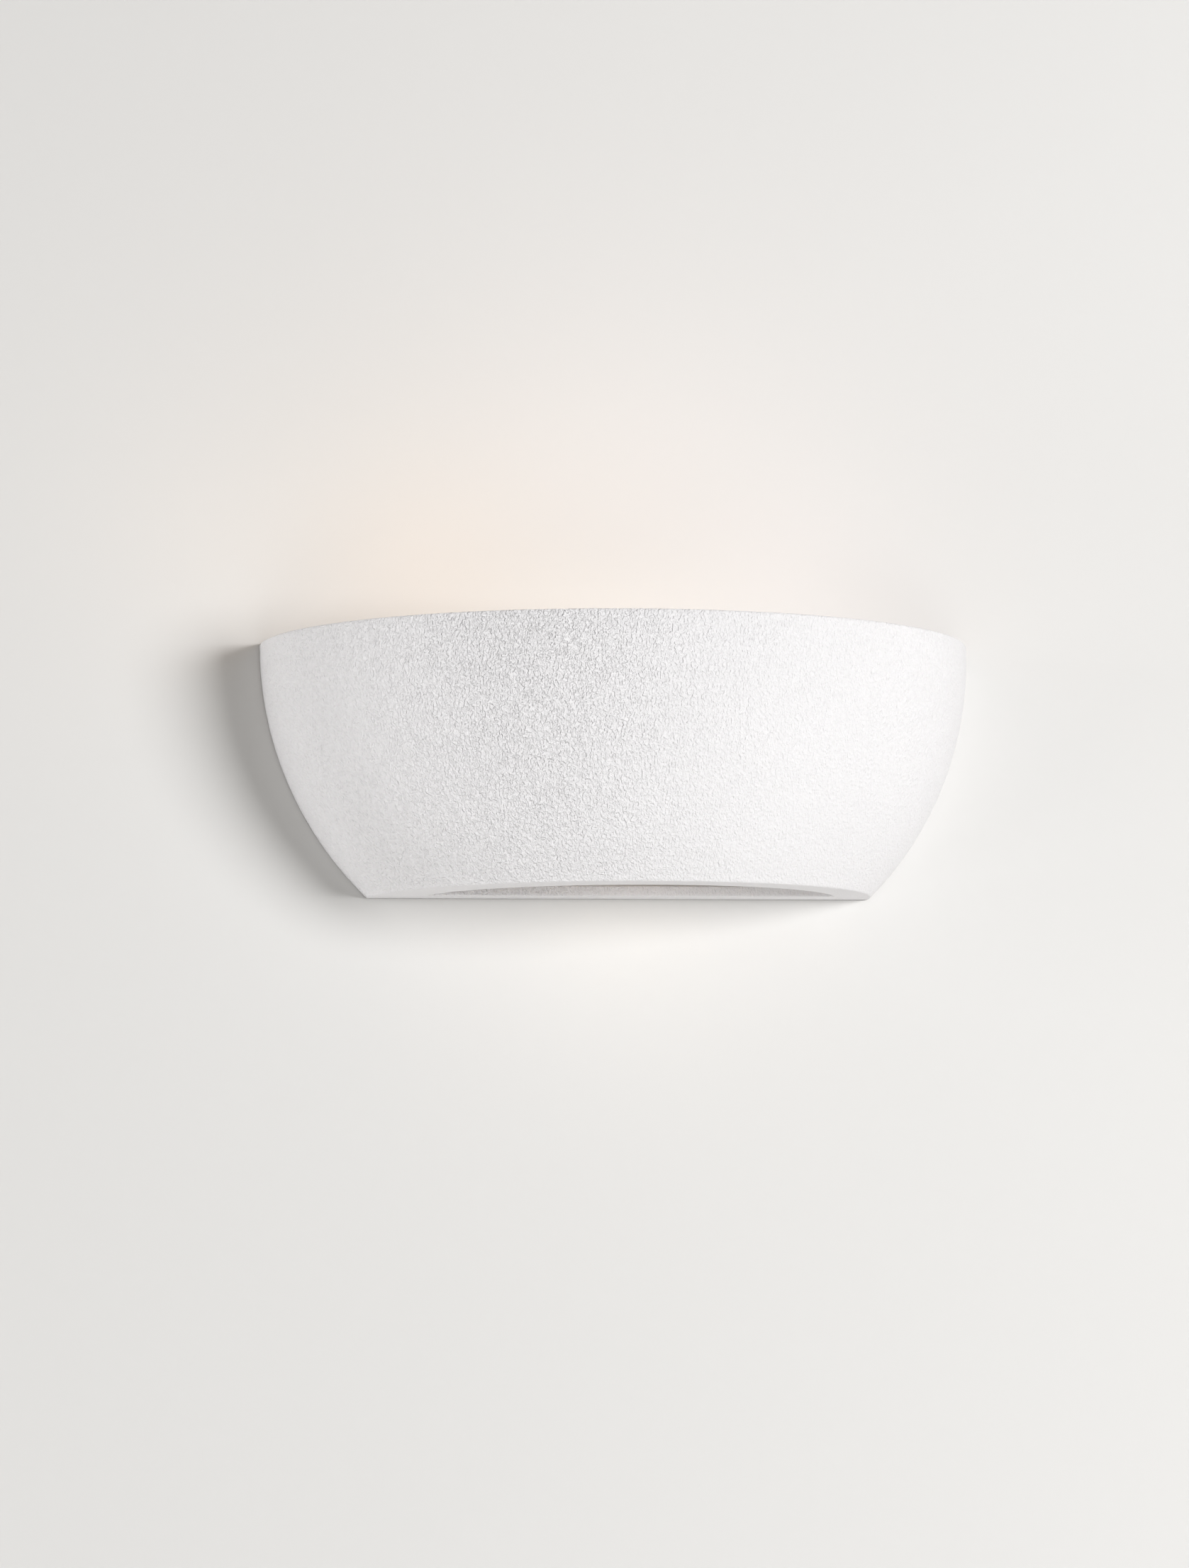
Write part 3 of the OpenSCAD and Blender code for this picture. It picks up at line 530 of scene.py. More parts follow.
FINISHES: dict[str, "CastCeramic | Surface | ClearGlass | GlowingWire | Sleeve"] = {
    "shade_ceramic": CastCeramic(),
    "white_sheet": speckled((0.78, 0.78, 0.765), (0.735, 0.73, 0.715), 0.32, 0.5, 0.03, 0.0013, 0.00012,
                            (0.66, 0.65, 0.63), 0.0011, 0.22),
    "strap_steel": metal((0.62, 0.615, 0.60), (0.575, 0.565, 0.535), 0.28, 0.40, 0.020, depth=0.00002,
                         stretch=(0.03, 1.0, 1.0)),
    "zinc_steel": metal((0.66, 0.655, 0.62), (0.56, 0.53, 0.44), 0.24, 0.42),
    "clamp_steel": metal((0.70, 0.69, 0.67), (0.60, 0.59, 0.57), 0.2, 0.36),
    "spring_steel": metal((0.42, 0.41, 0.41), (0.30, 0.29, 0.30), 0.22, 0.38, 0.004, 0.0004, 0.00002),
    "reflector_sheet": metal((0.86, 0.86, 0.86), (0.78, 0.785, 0.79), 0.12, 0.24, 0.02, 0.0012, 0.00005,
                             (0.04, 1.0, 1.0)),
    "rivet_aluminium": metal((0.80, 0.80, 0.80), (0.70, 0.70, 0.70), 0.28, 0.42, 0.004),
    "steatite": speckled((0.80, 0.765, 0.69), (0.72, 0.68, 0.60), 0.30, 0.5, 0.012, 0.0007, 0.00005,
                         (0.46, 0.40, 0.33), 0.0016, 0.26, 0.15),
    "cap_ceramic": speckled((0.84, 0.83, 0.80), (0.76, 0.745, 0.71), 0.35, 0.55, 0.008, 0.0006, 0.00004,
                            (0.5, 0.48, 0.45), 0.0013, 0.25),
    "lamp_glass": ClearGlass(),
    "filament_wire": GlowingWire(),
    "contact_metal": metal((0.70, 0.68, 0.64), (0.58, 0.55, 0.50), 0.2, 0.4, 0.003, 0.0004),
    "brass": metal((0.78, 0.58, 0.28), (0.62, 0.44, 0.20), 0.2, 0.42, grain=0.0006),
    "tinned_tag": metal((0.74, 0.74, 0.73), (0.62, 0.62, 0.61), 0.24, 0.4, 0.004),
    "block_nylon": speckled((0.74, 0.71, 0.63), (0.68, 0.645, 0.565), 0.42, 0.58, 0.014, 0.0007, 0.00005,
                            (0.5, 0.47, 0.4), 0.0014, 0.24),
    "bush_nylon": Surface((0.10, 0.10, 0.10), (0.14, 0.14, 0.145), (0.45, 0.62), cloud=0.006, grain=0.0006,
                          depth=0.00005),
    "grommet_rubber": Surface((0.045, 0.045, 0.048), (0.075, 0.075, 0.08), (0.6, 0.8), specular=0.35, cloud=0.008,
                              grain=0.0006, depth=0.00008),
    "live_sleeve": Sleeve((0.30, 0.105, 0.05), (0.13, 0.04, 0.02)),
    "neutral_sleeve": Sleeve((0.05, 0.15, 0.42), (0.02, 0.055, 0.18)),
    "earth_sleeve": Sleeve((0.60, 0.58, 0.05), (0.36, 0.33, 0.03), (0.05, 0.28, 0.07)),
}


class Paintbox:
    """Makes each finish's material once, on demand."""

    def __init__(self) -> None:
        """Starts empty."""
        self.made: dict[str, Material] = {}

    def get(self, slot: str) -> Material:
        """The material of one of the record's slots."""
        if slot not in self.made:
            self.made[slot] = FINISHES[slot].material(slot)
        return self.made[slot]


PAINTS = Paintbox()


def dress_frame() -> None:
    """Gives every node of the frame the material of its slot."""
    for part in frame["record"]["subparts"]:
        node = frame["nodes"][part["node"]]
        node.data.materials.clear()
        node.data.materials.append(PAINTS.get(part["material_slot"]))


def place_piece(piece: Object, slot: str, body: Body, *nodes: str) -> Object:
    """Dresses a finished piece, puts it on its body and lets it stand for nodes of the frame.

    Args:
        piece: the finished object.
        slot: the record's material slot.
        body: the body that it moves with.
        nodes: the nodes that it replaces.

    Returns:
        The same object.
    """
    if not piece.data.materials:
        piece.data.materials.append(PAINTS.get(slot))
    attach(piece, body.value)
    if nodes:
        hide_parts(*nodes)
    LOG.info("%s: %d faces, on %s", piece.name, len(piece.data.polygons), body.value)
    return piece


# The shade


@dataclass(frozen=True)
class Sandiness:
    """How sandy each part of the cast skin is, where 1 is the middle of its face."""

    underside: float = 0.15
    foot: float = 0.8
    foot_gain: float = 0.07
    face: float = 1.0
    rim_fall: float = 0.1
    rim: float = 0.2
    inside: float = 0.25
    lip: float = 0.3
    throat_edge: float = 0.8
    throat: float = 0.9
    bar: float = 0.35


@dataclass
class CastShade:
    """The cast half bowl, with its floor, slot and rear bar, all lengths in metres."""

    wall: float = 7 * MM
    floor: float = 5 * MM
    brow: float = 3 * MM
    side_radius: float = 163 * MM
    rim_radius: float = 1.2 * MM
    base_edge: float = 0.9 * MM
    slot_edge: float = 0.7 * MM
    edge_lift: float = 0.7
    foot_fillet: float = 3 * MM
    slot_width: float = 195 * MM
    slot_depth: float = 51 * MM
    bar_depth: float = 14 * MM
    slot_shift: float = 3.5 * MM
    sand_least: float = 0.62
    sand_more: float = 0.95
    sand_middle: float = -62 * MM
    sand_spread: float = 72 * MM
    sand_rise: float = 0.15
    lump_height: float = 0.18 * MM
    lump_size: float = 4.2 * MM
    grain_height: float = 0.40 * MM
    grain_size: float = 2.0 * MM
    sand: Sandiness = Sandiness()
    columns: int = 420
    bar_columns: int = 120
    outer_rows: int = 112
    inner_rows: int = 36
    rim_steps: int = 6
    throat_steps: int = 4

    def __post_init__(self) -> None:
        """Reads the overall sizes off the frame."""
        low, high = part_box("shade")
        self.half_width = (high.x - low.x) / 2
        self.depth = -low.y
        self.top, self.base = high.z, low.z
        self.arc_level = self.top - self.brow
        self.outer_ratio = self.depth / self.half_width
        self.inner_ratio = (self.depth - self.wall) / (self.half_width - self.wall)

    def reach(self, level: float, inset: float) -> float:
        """Half the bowl's width at a level, counted to a skin that lies inset inside the outer one."""
        radius = self.side_radius - inset
        drop = max(0.0, self.arc_level - level)
        return self.half_width - self.side_radius + math.sqrt(radius * radius - drop * drop)

    def skin_levels(self, low: float, high: float, count: int, inset: float) -> list[float]:
        """Levels between low and high, evenly spaced along a skin's section."""
        fine = np.linspace(low, high, 800)
        reach = np.array([self.reach(z, inset) for z in fine])
        length = np.concatenate([[0.0], np.cumsum(np.hypot(np.diff(fine), np.diff(reach)))])
        return list(np.interp(np.linspace(0.0, length[-1], count), length, fine))

    def arc_row(self, angles: np.ndarray, reach: float, ratio: float, level: float) -> np.ndarray:
        """Points of one level half ellipse."""
        return np.stack(
            [reach * np.cos(angles), -ratio * reach * np.sin(angles), np.full_like(angles, level)], axis=1
        )

    def slot_row(self, angles: np.ndarray, grow: float, level: float) -> np.ndarray:
        """Points of the slot's edge, grown outwards by a little, one for each angle of the bowl."""
        front = self.bar_depth + self.slot_depth
        half = self.slot_width / 2 / math.sqrt(1 - (self.bar_depth / front) ** 2)
        start = math.asin(self.bar_depth / front)
        turn = start + (math.pi - 2 * start) * angles / math.pi
        out = np.stack([np.cos(turn) * front, -np.sin(turn) * half], axis=1)
        out /= np.linalg.norm(out, axis=1)[:, None]
        flat = np.stack([half * np.cos(turn) + self.slot_shift, -front * np.sin(turn)], axis=1) + grow * out
        flat[[0, -1], 1] = -self.bar_depth + grow
        return np.concatenate([flat, np.full((len(angles), 1), level)], axis=1)

    def rows(self, angles: np.ndarray) -> tuple[list[np.ndarray], list[float], int, int]:
        """The closed section, row by row, from the underside's outer edge round to it again.

        Args:
            angles: the angle of each column.

        Returns:
            The rows, the sandiness of each, and the numbers of the first wall row and the last one.
        """
        rows: list[np.ndarray] = []
        sand: list[float] = []
        rough, rim = self.sand, self.rim_radius
        edge, outer, inner = self.base_edge, self.outer_ratio, self.inner_ratio
        foot, fillet, lip = self.base + self.floor, self.foot_fillet, self.slot_edge

        def add(row: np.ndarray, sandy: float) -> None:
            """Adds one row."""
            rows.append(row)
            sand.append(sandy)

        def bend(a: np.ndarray, corner: np.ndarray, b: np.ndarray, steps: int, start: float, stop: float) -> None:
            """Adds the rows between two that round the corner between them."""
            for i in range(1, steps):
                t = i / steps
                add((1 - t) ** 2 * a + 2 * t * (1 - t) * corner + t * t * b, start * (1 - t) + stop * t)

        def cross(a: np.ndarray, b: np.ndarray, first_step: int, stop_step: int, steps: int, sandy: float) -> None:
            """Adds rows on the straight way between two."""
            for i in range(first_step, stop_step):
                add(a + (b - a) * i / steps, sandy)

        def round_rim(centre: float, ratio: float, step: int, sandy: float) -> None:
            """Adds one row of a rim's rounding, a step of it being a sixth of a right angle."""
            a = math.radians(90.0 / self.rim_steps * step)
            add(self.arc_row(angles, centre + rim * math.cos(a), ratio, self.top - rim + rim * math.sin(a)), sandy)

        under = self.arc_row(angles, self.reach(self.base, 0.0) - edge, outer, self.base)
        corner = self.arc_row(angles, self.reach(self.base, 0.0), outer, self.base)
        add(under, rough.underside)
        first = len(rows) - 1
        lift = self.base + self.edge_lift * edge
        levels = self.skin_levels(lift, self.top - rim, self.outer_rows, 0.0)
        above = self.arc_row(angles, self.reach(lift, 0.0), outer, lift)
        bend(under, corner, above, 4, rough.underside, rough.foot)
        for number, level in enumerate(levels):
            sandy = min(rough.face, rough.foot + rough.foot_gain * number)
            add(self.arc_row(angles, self.reach(level, 0.0), outer, level), sandy)
        for i in range(1, self.rim_steps + 1):
            round_rim(self.half_width - rim, outer, i, rough.face - rough.rim_fall * i)
        in_edge = self.arc_row(angles, self.half_width - self.wall + rim, inner, self.top)
        cross(rows[-1], in_edge, 1, 5, 5, rough.rim)
        for i in range(self.rim_steps):
            round_rim(self.half_width - self.wall + rim, inner, self.rim_steps + i, rough.rim)
        for level in self.skin_levels(foot + fillet, self.top - rim, self.inner_rows, self.wall)[::-1]:
            add(self.arc_row(angles, self.reach(level, self.wall), inner, level), rough.inside)
        meet = self.arc_row(angles, self.reach(foot, self.wall), inner, foot)
        inside = self.arc_row(angles, self.reach(foot, self.wall) - fillet, inner, foot)
        bend(rows[-1], meet, inside, 5, rough.inside, rough.inside)
        add(inside, rough.inside)
        last = len(rows) - 1
        top_edge, low_edge = self.slot_row(angles, lip, foot), self.slot_row(angles, lip, self.base)
        high, low = self.slot_row(angles, 0.0, foot - lip), self.slot_row(angles, 0.0, self.base + lip)
        cross(inside, top_edge, 1, 8, 8, rough.inside)
        add(top_edge, rough.lip)
        bend(top_edge, self.slot_row(angles, 0.0, foot), high, 3, rough.lip, rough.throat_edge)
        cross(high, low, 0, self.throat_steps + 1, self.throat_steps, rough.throat)
        bend(low, self.slot_row(angles, 0.0, self.base), low_edge, 3, rough.throat_edge, rough.lip)
        cross(low_edge, under, 0, 10, 10, rough.underside)
        return rows, sand, first, last

    def mesh(self) -> Mesh:
        """The closed, still even mesh, with its sandiness as a point attribute."""
        angles = np.linspace(0.0, math.pi, self.columns + 1)
        rows, sand, first, last = self.rows(angles)
        count, wide = len(rows), self.columns + 1
        points = [np.stack(rows, axis=0).reshape(-1, 3)]
        rough = [np.repeat(sand, wide)]
        faces: list[tuple[int, ...]] = []
        for r in range(count):
            s = (r + 1) % count
            for c in range(self.columns):
                faces.append((r * wide + c, r * wide + c + 1, s * wide + c + 1, s * wide + c))
        bar_rows = [*range(last, count), first]
        start = count * wide
        shares = np.linspace(0.0, 1.0, self.bar_columns + 1)[1:-1, None]
        for r in bar_rows:
            right, left = rows[r][0], rows[r][-1]
            points.append(right + (left - right) * shares)
            rough.append(np.full(self.bar_columns - 1, max(sand[r], self.sand.bar)))

        def bar_vertex(row: int, column: int) -> int:
            """The number of a point on the rear bar, whose ends belong to the bowl."""
            if column == 0:
                return bar_rows[row] * wide
            if column == self.bar_columns:
                return bar_rows[row] * wide + self.columns
            return start + row * (self.bar_columns - 1) + column - 1

        for r in range(len(bar_rows)):
            s = (r + 1) % len(bar_rows)
            for c in range(self.bar_columns):
                faces.append((bar_vertex(r, c), bar_vertex(s, c), bar_vertex(s, c + 1), bar_vertex(r, c + 1)))
        for column, turned in ((0, False), (self.columns, True)):
            ring = [r * wide + column for r in range(first, last + 1)]
            flat = [Vector((rows[r][column][0], rows[r][column][2], 0.0)) for r in range(first, last + 1)]
            for a, b, c in tessellate_polygon([flat]):
                face = (ring[a], ring[b], ring[c])
                faces.append(face[::-1] if turned else face)
        spots = np.concatenate(points)
        mesh = new_mesh("shade_even", spots.tolist(), faces)
        attribute = mesh.attributes.new("sand", "FLOAT", "POINT")
        # Sandiness peaks left of the middle and grows with height; it scales the lumps and the painted pit shade
        off = (spots[:, 0] - self.sand_middle) / self.sand_spread
        uneven = self.sand_least + self.sand_more * np.exp(-(off**2))
        uneven *= 1.0 + self.sand_rise * spots[:, 2] / self.top
        attribute.data.foreach_set("value", (np.concatenate(rough) * uneven).astype(np.float32))
        return outward(mesh)

    def build(self, grain: GeometryTree) -> Object:
        """Builds the sandy bowl and puts it on the shade's body.

        Args:
            grain: the tree that raises the skin's lumps.

        Returns:
            The bowl.
        """
        piece = grain.bake(
            "cast_bowl", self.mesh(), lump_height=self.lump_height, lump_size=self.lump_size,
            grain_height=self.grain_height, grain_size=self.grain_size, material=PAINTS.get("shade_ceramic"),
        )
        return place_piece(piece, "shade_ceramic", Body.SHADE, "shade")


def new_mesh(name: str, points: Sequence, faces: Sequence = (), edges: Sequence = ()) -> Mesh:
    """A new mesh of points in metres, with faces or loose edges."""
    mesh = bpy.data.meshes.new(name)
    mesh.from_pydata(list(points), list(edges), list(faces))
    return mesh


def merge(target: Mesh, *meshes: Mesh) -> Mesh:
    """Writes several meshes into one and returns it."""
    work = bmesh.new()
    for mesh in meshes:
        work.from_mesh(mesh)
    work.to_mesh(target)
    work.free()
    return target


def outward(mesh: Mesh) -> Mesh:
    """Turns every face of a closed mesh outwards."""
    work = bmesh.new()
    work.from_mesh(mesh)
    bmesh.ops.recalc_face_normals(work, faces=work.faces)
    work.to_mesh(mesh)
    work.free()
    return mesh


# Shapes and geometry trees for the small pieces


def turned(outline: Sequence[tuple[float, float]], sides: int = 40) -> Mesh:
    """Turns an outline about +Z.

    Args:
        outline: radius and height of each point in millimetres; it is a solid if its ends lie on the axis.
        sides: faces around.

    Returns:
        A closed mesh with its faces outwards.
    """
    points: list[Point] = []
    rings: list[list[int]] = []
    for radius, height in outline:
        count = sides if radius else 1
        rings.append(list(range(len(points), len(points) + count)))
        for i in range(count):
            a = FULL_TURN * i / sides
            points.append((radius * math.cos(a) * MM, radius * math.sin(a) * MM, height * MM))
    pairs = list(zip(rings, rings[1:]))
    if outline[0][0] or outline[-1][0]:
        pairs.append((rings[-1], rings[0]))
    faces = []
    for low, high in pairs:
        for i in range(sides):
            j = (i + 1) % sides
            corners = (low[i % len(low)], low[j % len(low)], high[j % len(high)], high[i % len(high)])
            faces.append(tuple(dict.fromkeys(corners)))
    return outward(new_mesh("turned", points, faces))


def thread(radius: float, depth: float, low: float, high: float, pitch: float) -> list[tuple[float, float]]:
    """The outline of a screw thread between two heights, in millimetres."""
    turns = int((high - low) / pitch)
    return [(radius - depth * (i % 2), low + i * pitch / 2) for i in range(1, 2 * turns)]


def slab(low: Point, high: Point) -> Mesh:
    """A box between two corners in millimetres, used as a cutter."""
    work = bmesh.new()
    bmesh.ops.create_cube(work, size=1.0)
    for vertex in work.verts:
        vertex.co = Vector(tuple(MM * (a if c < 0 else b) for c, a, b in zip(vertex.co, low, high)))
    mesh = bpy.data.meshes.new("slab")
    work.to_mesh(mesh)
    work.free()
    return mesh


def carved(body: Mesh, *cutters: Mesh) -> Mesh:
    """Cuts closed meshes out of another one.

    Args:
        body: what is cut.
        cutters: what is taken away.

    Returns:
        The new closed mesh.
    """
    holder = link("carved", body)
    others = [link("cutter", cutter) for cutter in cutters]
    for other in others:
        modifier = holder.modifiers.new("cut", "BOOLEAN")
        modifier.operation, modifier.solver, modifier.object = "DIFFERENCE", "EXACT", other
    mesh = evaluated_mesh(holder)
    for item in (holder, *others):
        bpy.data.objects.remove(item)
    return mesh


def evaluated_mesh(holder: Object) -> Mesh:
    """A plain mesh of an object with its modifiers applied."""
    graph = bpy.context.evaluated_depsgraph_get()
    return bpy.data.meshes.new_from_object(holder.evaluated_get(graph), depsgraph=graph)


def aimed(mesh: Mesh, direction: Point, place: Point) -> Mesh:
    """Turns a mesh from +Z to a direction and moves its origin to a place in millimetres."""
    turn = Vector((0, 0, 1)).rotation_difference(Vector(direction)).to_matrix().to_4x4()
    mesh.transform(Matrix.Translation(Vector(place) * MM) @ turn)
    return mesh


def softened(name: str, width: float, *nodes: str) -> Object:
    """Copies nodes of the frame, with their sharp edges rounded.

    Args:
        name: name of the new piece.
        width: width of the rounding, in millimetres.
        nodes: the nodes that are copied.

    Returns:
        The new piece.
    """
    work = bmesh.new()
    for node in nodes:
        work.from_mesh(frame["nodes"][node].data)
    bmesh.ops.remove_doubles(work, verts=work.verts, dist=WELD)
    bmesh.ops.dissolve_limit(work, angle_limit=FLAT_ANGLE, verts=work.verts, edges=work.edges)
    mesh = bpy.data.meshes.new(name)
    work.to_mesh(mesh)
    work.free()
    mesh.materials.clear()
    holder = link(name + "_sharp", mesh, crease=CREASE_ANGLE)
    modifier = holder.modifiers.new("round", "BEVEL")
    modifier.width, modifier.segments = width * MM, 2
    modifier.limit_method, modifier.angle_limit = "ANGLE", CREASE_ANGLE
    modifier.harden_normals = True
    rounded = evaluated_mesh(holder)
    bpy.data.objects.remove(holder)
    rounded.name = name
    return link(name, rounded)


def rounded_copies(body: Body, *rows: tuple[str, float, str, str]) -> None:
    """Copies nodes with rounded edges, by rows of piece, width of rounding, slot and node."""
    for name, width, slot, node in rows:
        place_piece(softened(name, width, node), slot, body, node)


def both(x: float, y: float, z: float) -> list[Point]:
    """A place on the left and its mirror image on the right."""
    return [(side.value * x, y, z) for side in Side]


def points_mesh(places: Sequence[Point], aims: Sequence[Point]) -> Mesh:
    """Loose points in millimetres, each with the direction that a fastener there faces."""
    mesh = new_mesh("places", [tuple(MM * c for c in place) for place in places])
    aim = mesh.attributes.new("aim", "FLOAT_VECTOR", "POINT")
    aim.data.foreach_set("vector", [c for direction in aims for c in direction])
    return mesh


def fastener_tree() -> GeometryTree:
    """The tree that sets one fastener on every point, facing the point's aim, each turned its own way.

    Returns:
        A tree with the inputs Fastener, Seed and Material.
    """
    made = GeometryTree("fasteners")
    fastener, seed = made.add_input("Fastener", Input.OBJECT), made.add_input("Seed", Input.COUNT)
    aim = made.out("GeometryNodeInputNamedAttribute", {"Name": "aim"}, "Attribute", data_type="FLOAT_VECTOR")
    facing = made.out("FunctionNodeAlignRotationToVector", {"Vector": aim}, axis="Z")
    angle = made.out("FunctionNodeRandomValue", {2: 0.0, 3: FULL_TURN, 8: seed}, 1, data_type="FLOAT")
    spin = made.out("FunctionNodeAxisAngleToRotation", {"Axis": (0, 0, 1), "Angle": angle})
    turn = made.out("FunctionNodeRotateRotation", {"Rotation": facing, "Rotate By": spin}, rotation_space="LOCAL")
    master = made.out("GeometryNodeObjectInfo", {"Object": fastener, "As Instance": True}, "Geometry")
    spots = {"Points": made.start.outputs[0], "Instance": master, "Rotation": turn}
    made.finish(made.out("GeometryNodeInstanceOnPoints", spots))
    return made


def coil_tree() -> GeometryTree:
    """The tree of a wire coil along +X.

    Returns:
        A tree with the inputs Radius, Length, Turns, Wire, Start and Material.
    """
    made = GeometryTree("coil")
    radius, length, turns, wire = made.lengths("Radius", "Length", "Turns", "Wire")
    start = made.add_input("Start", Input.PLACE)
    sizes = {"Resolution": 20, "Rotations": turns, "Start Radius": radius, "End Radius": radius, "Height": length}
    spiral = made.out("GeometryNodeCurveSpiral", sizes)
    section = made.out("GeometryNodeCurvePrimitiveCircle", {"Resolution": 8, "Radius": wire})
    skin = {"Curve": spiral, "Profile Curve": section, "Fill Caps": True}
    laid = {"Geometry": made.out("GeometryNodeCurveToMesh", skin), "Translation": start,
            "Rotation": (0.0, FULL_TURN / 4, 0.0)}
    made.finish(made.out("GeometryNodeTransform", laid))
    return made


def sleeve_tree() -> GeometryTree:
    """The tree of a round wire that follows a route, with the attributes that its braid reads.

    Returns:
        A tree with the inputs Radius, Step and Material.
    """
    made = GeometryTree("sleeve")
    radius, step = made.lengths("Radius", "Step")
    route = made.out("GeometryNodeMeshToCurve", {"Mesh": made.start.outputs[0]})
    bent = made.out("GeometryNodeCurveSplineType", {"Curve": route}, spline_type="CATMULL_ROM")
    even = made.out("GeometryNodeResampleCurve", {"Curve": bent, "Length": step}, mode="LENGTH")
    section = made.out("GeometryNodeCurvePrimitiveCircle", {"Resolution": 20, "Radius": radius})
    where = made.node("GeometryNodeSplineParameter")
    share = Field(made.tree, where.outputs["Factor"]) * FULL_TURN

    def keep(geometry: Socket, name: str, value: "Field | Socket") -> Socket:
        """Stores a number on the points of a curve."""
        stored = {"Geometry": geometry, "Name": name, "Value": value}
        return made.out("GeometryNodeStoreNamedAttribute", stored, data_type="FLOAT", domain="POINT")

    line = keep(even, "along", where.outputs["Length"])
    ring = keep(keep(section, "across", share.math("COSINE")), "upward", share.math("SINE"))
    made.finish(made.out("GeometryNodeCurveToMesh", {"Curve": line, "Profile Curve": ring, "Fill Caps": True}))
    return made


def knurl_tree() -> GeometryTree:
    """The tree that presses grooves along Z into the outermost face of a turned head.

    Returns:
        A tree with the inputs Grooves, Depth, Edge and Material.
    """
    made = GeometryTree("knurl")
    grooves, depth, edge = made.lengths("Grooves", "Depth", "Edge")
    split = made.node("ShaderNodeSeparateXYZ", {0: made.out("GeometryNodeInputPosition")})
    x, y = (Field(made.tree, split.outputs[axis]) for axis in (0, 1))
    wave = (y.math("ARCTAN2", x) * grooves).math("COSINE")
    dent = wave.math("SUBTRACT", GROOVE_GAP, clamp=True) * GROOVE_GAIN
    outer = (x * x + y * y).math("SQRT").math("GREATER_THAN", edge)
    out = made.vector("NORMALIZE", {0: made.out("ShaderNodeCombineXYZ", {0: x, 1: y, 2: 0.0})})
    made.finish(made.pushed(out, dent * depth * outer * -1.0))
    return made


@dataclass
class Trees:
    """The geometry trees that the sub-assemblies share, and what they make in millimetres."""

    grain: GeometryTree
    fasteners: GeometryTree
    coil: GeometryTree
    sleeve: GeometryTree
    knurl: GeometryTree

    def set_on(
        self, name: str, master: Mesh, places: Sequence[Point], aims: Sequence[Point], seed: int, slot: str,
        body: Body, *nodes: str,
    ) -> None:
        """Sets copies of one fastener on places and puts them on a body as one piece.

        Args:
            name: name of the new piece.
            master: the fastener, with its head towards +Z.
            places: where the origins of the copies go.
            aims: the direction that each faces.
            seed: of their random turns.
            slot: the record's material slot.
            body: the body that they move with.
            nodes: the nodes that they replace.
        """
        pattern = link(name + "_master", master)
        piece = self.fasteners.bake(
            name, points_mesh(places, aims), fastener=pattern, seed=seed, material=PAINTS.get(slot)
        )
        bpy.data.objects.remove(pattern)
        piece.data.set_sharp_from_angle(angle=CREASE_ANGLE)
        place_piece(piece, slot, body, *nodes)

    def wind(
        self, name: str, start: Point, radius: float, length: float, turns: float, wire: float, slot: str
    ) -> Object:
        """Winds a wire of radius wire into a coil along +X.

        Args:
            name: name of the new piece.
            start: the middle of its first turn.
            radius: the coil's radius.
            length: the coil's length.
            turns: how many turns it has.
            wire: the wire's radius.
            slot: the record's material slot.

        Returns:
            The coil.
        """
        return self.coil.bake(
            name, bpy.data.meshes.new("none"), radius=radius * MM, length=length * MM, turns=turns, wire=wire * MM,
            start=tuple(c * MM for c in start), material=PAINTS.get(slot),
        )

    def lay(self, name: str, route: Sequence[Point], radius: float, step: float, slot: str) -> Object:
        """Lays a round wire along a route, with a ring of points at every step."""
        links = [(i, i + 1) for i in range(len(route) - 1)]
        chain = new_mesh("route", [tuple(MM * c for c in p) for p in route], edges=links)
        return self.sleeve.bake(name, chain, radius=radius * MM, step=step * MM, material=PAINTS.get(slot))


# What carries and locks the shade


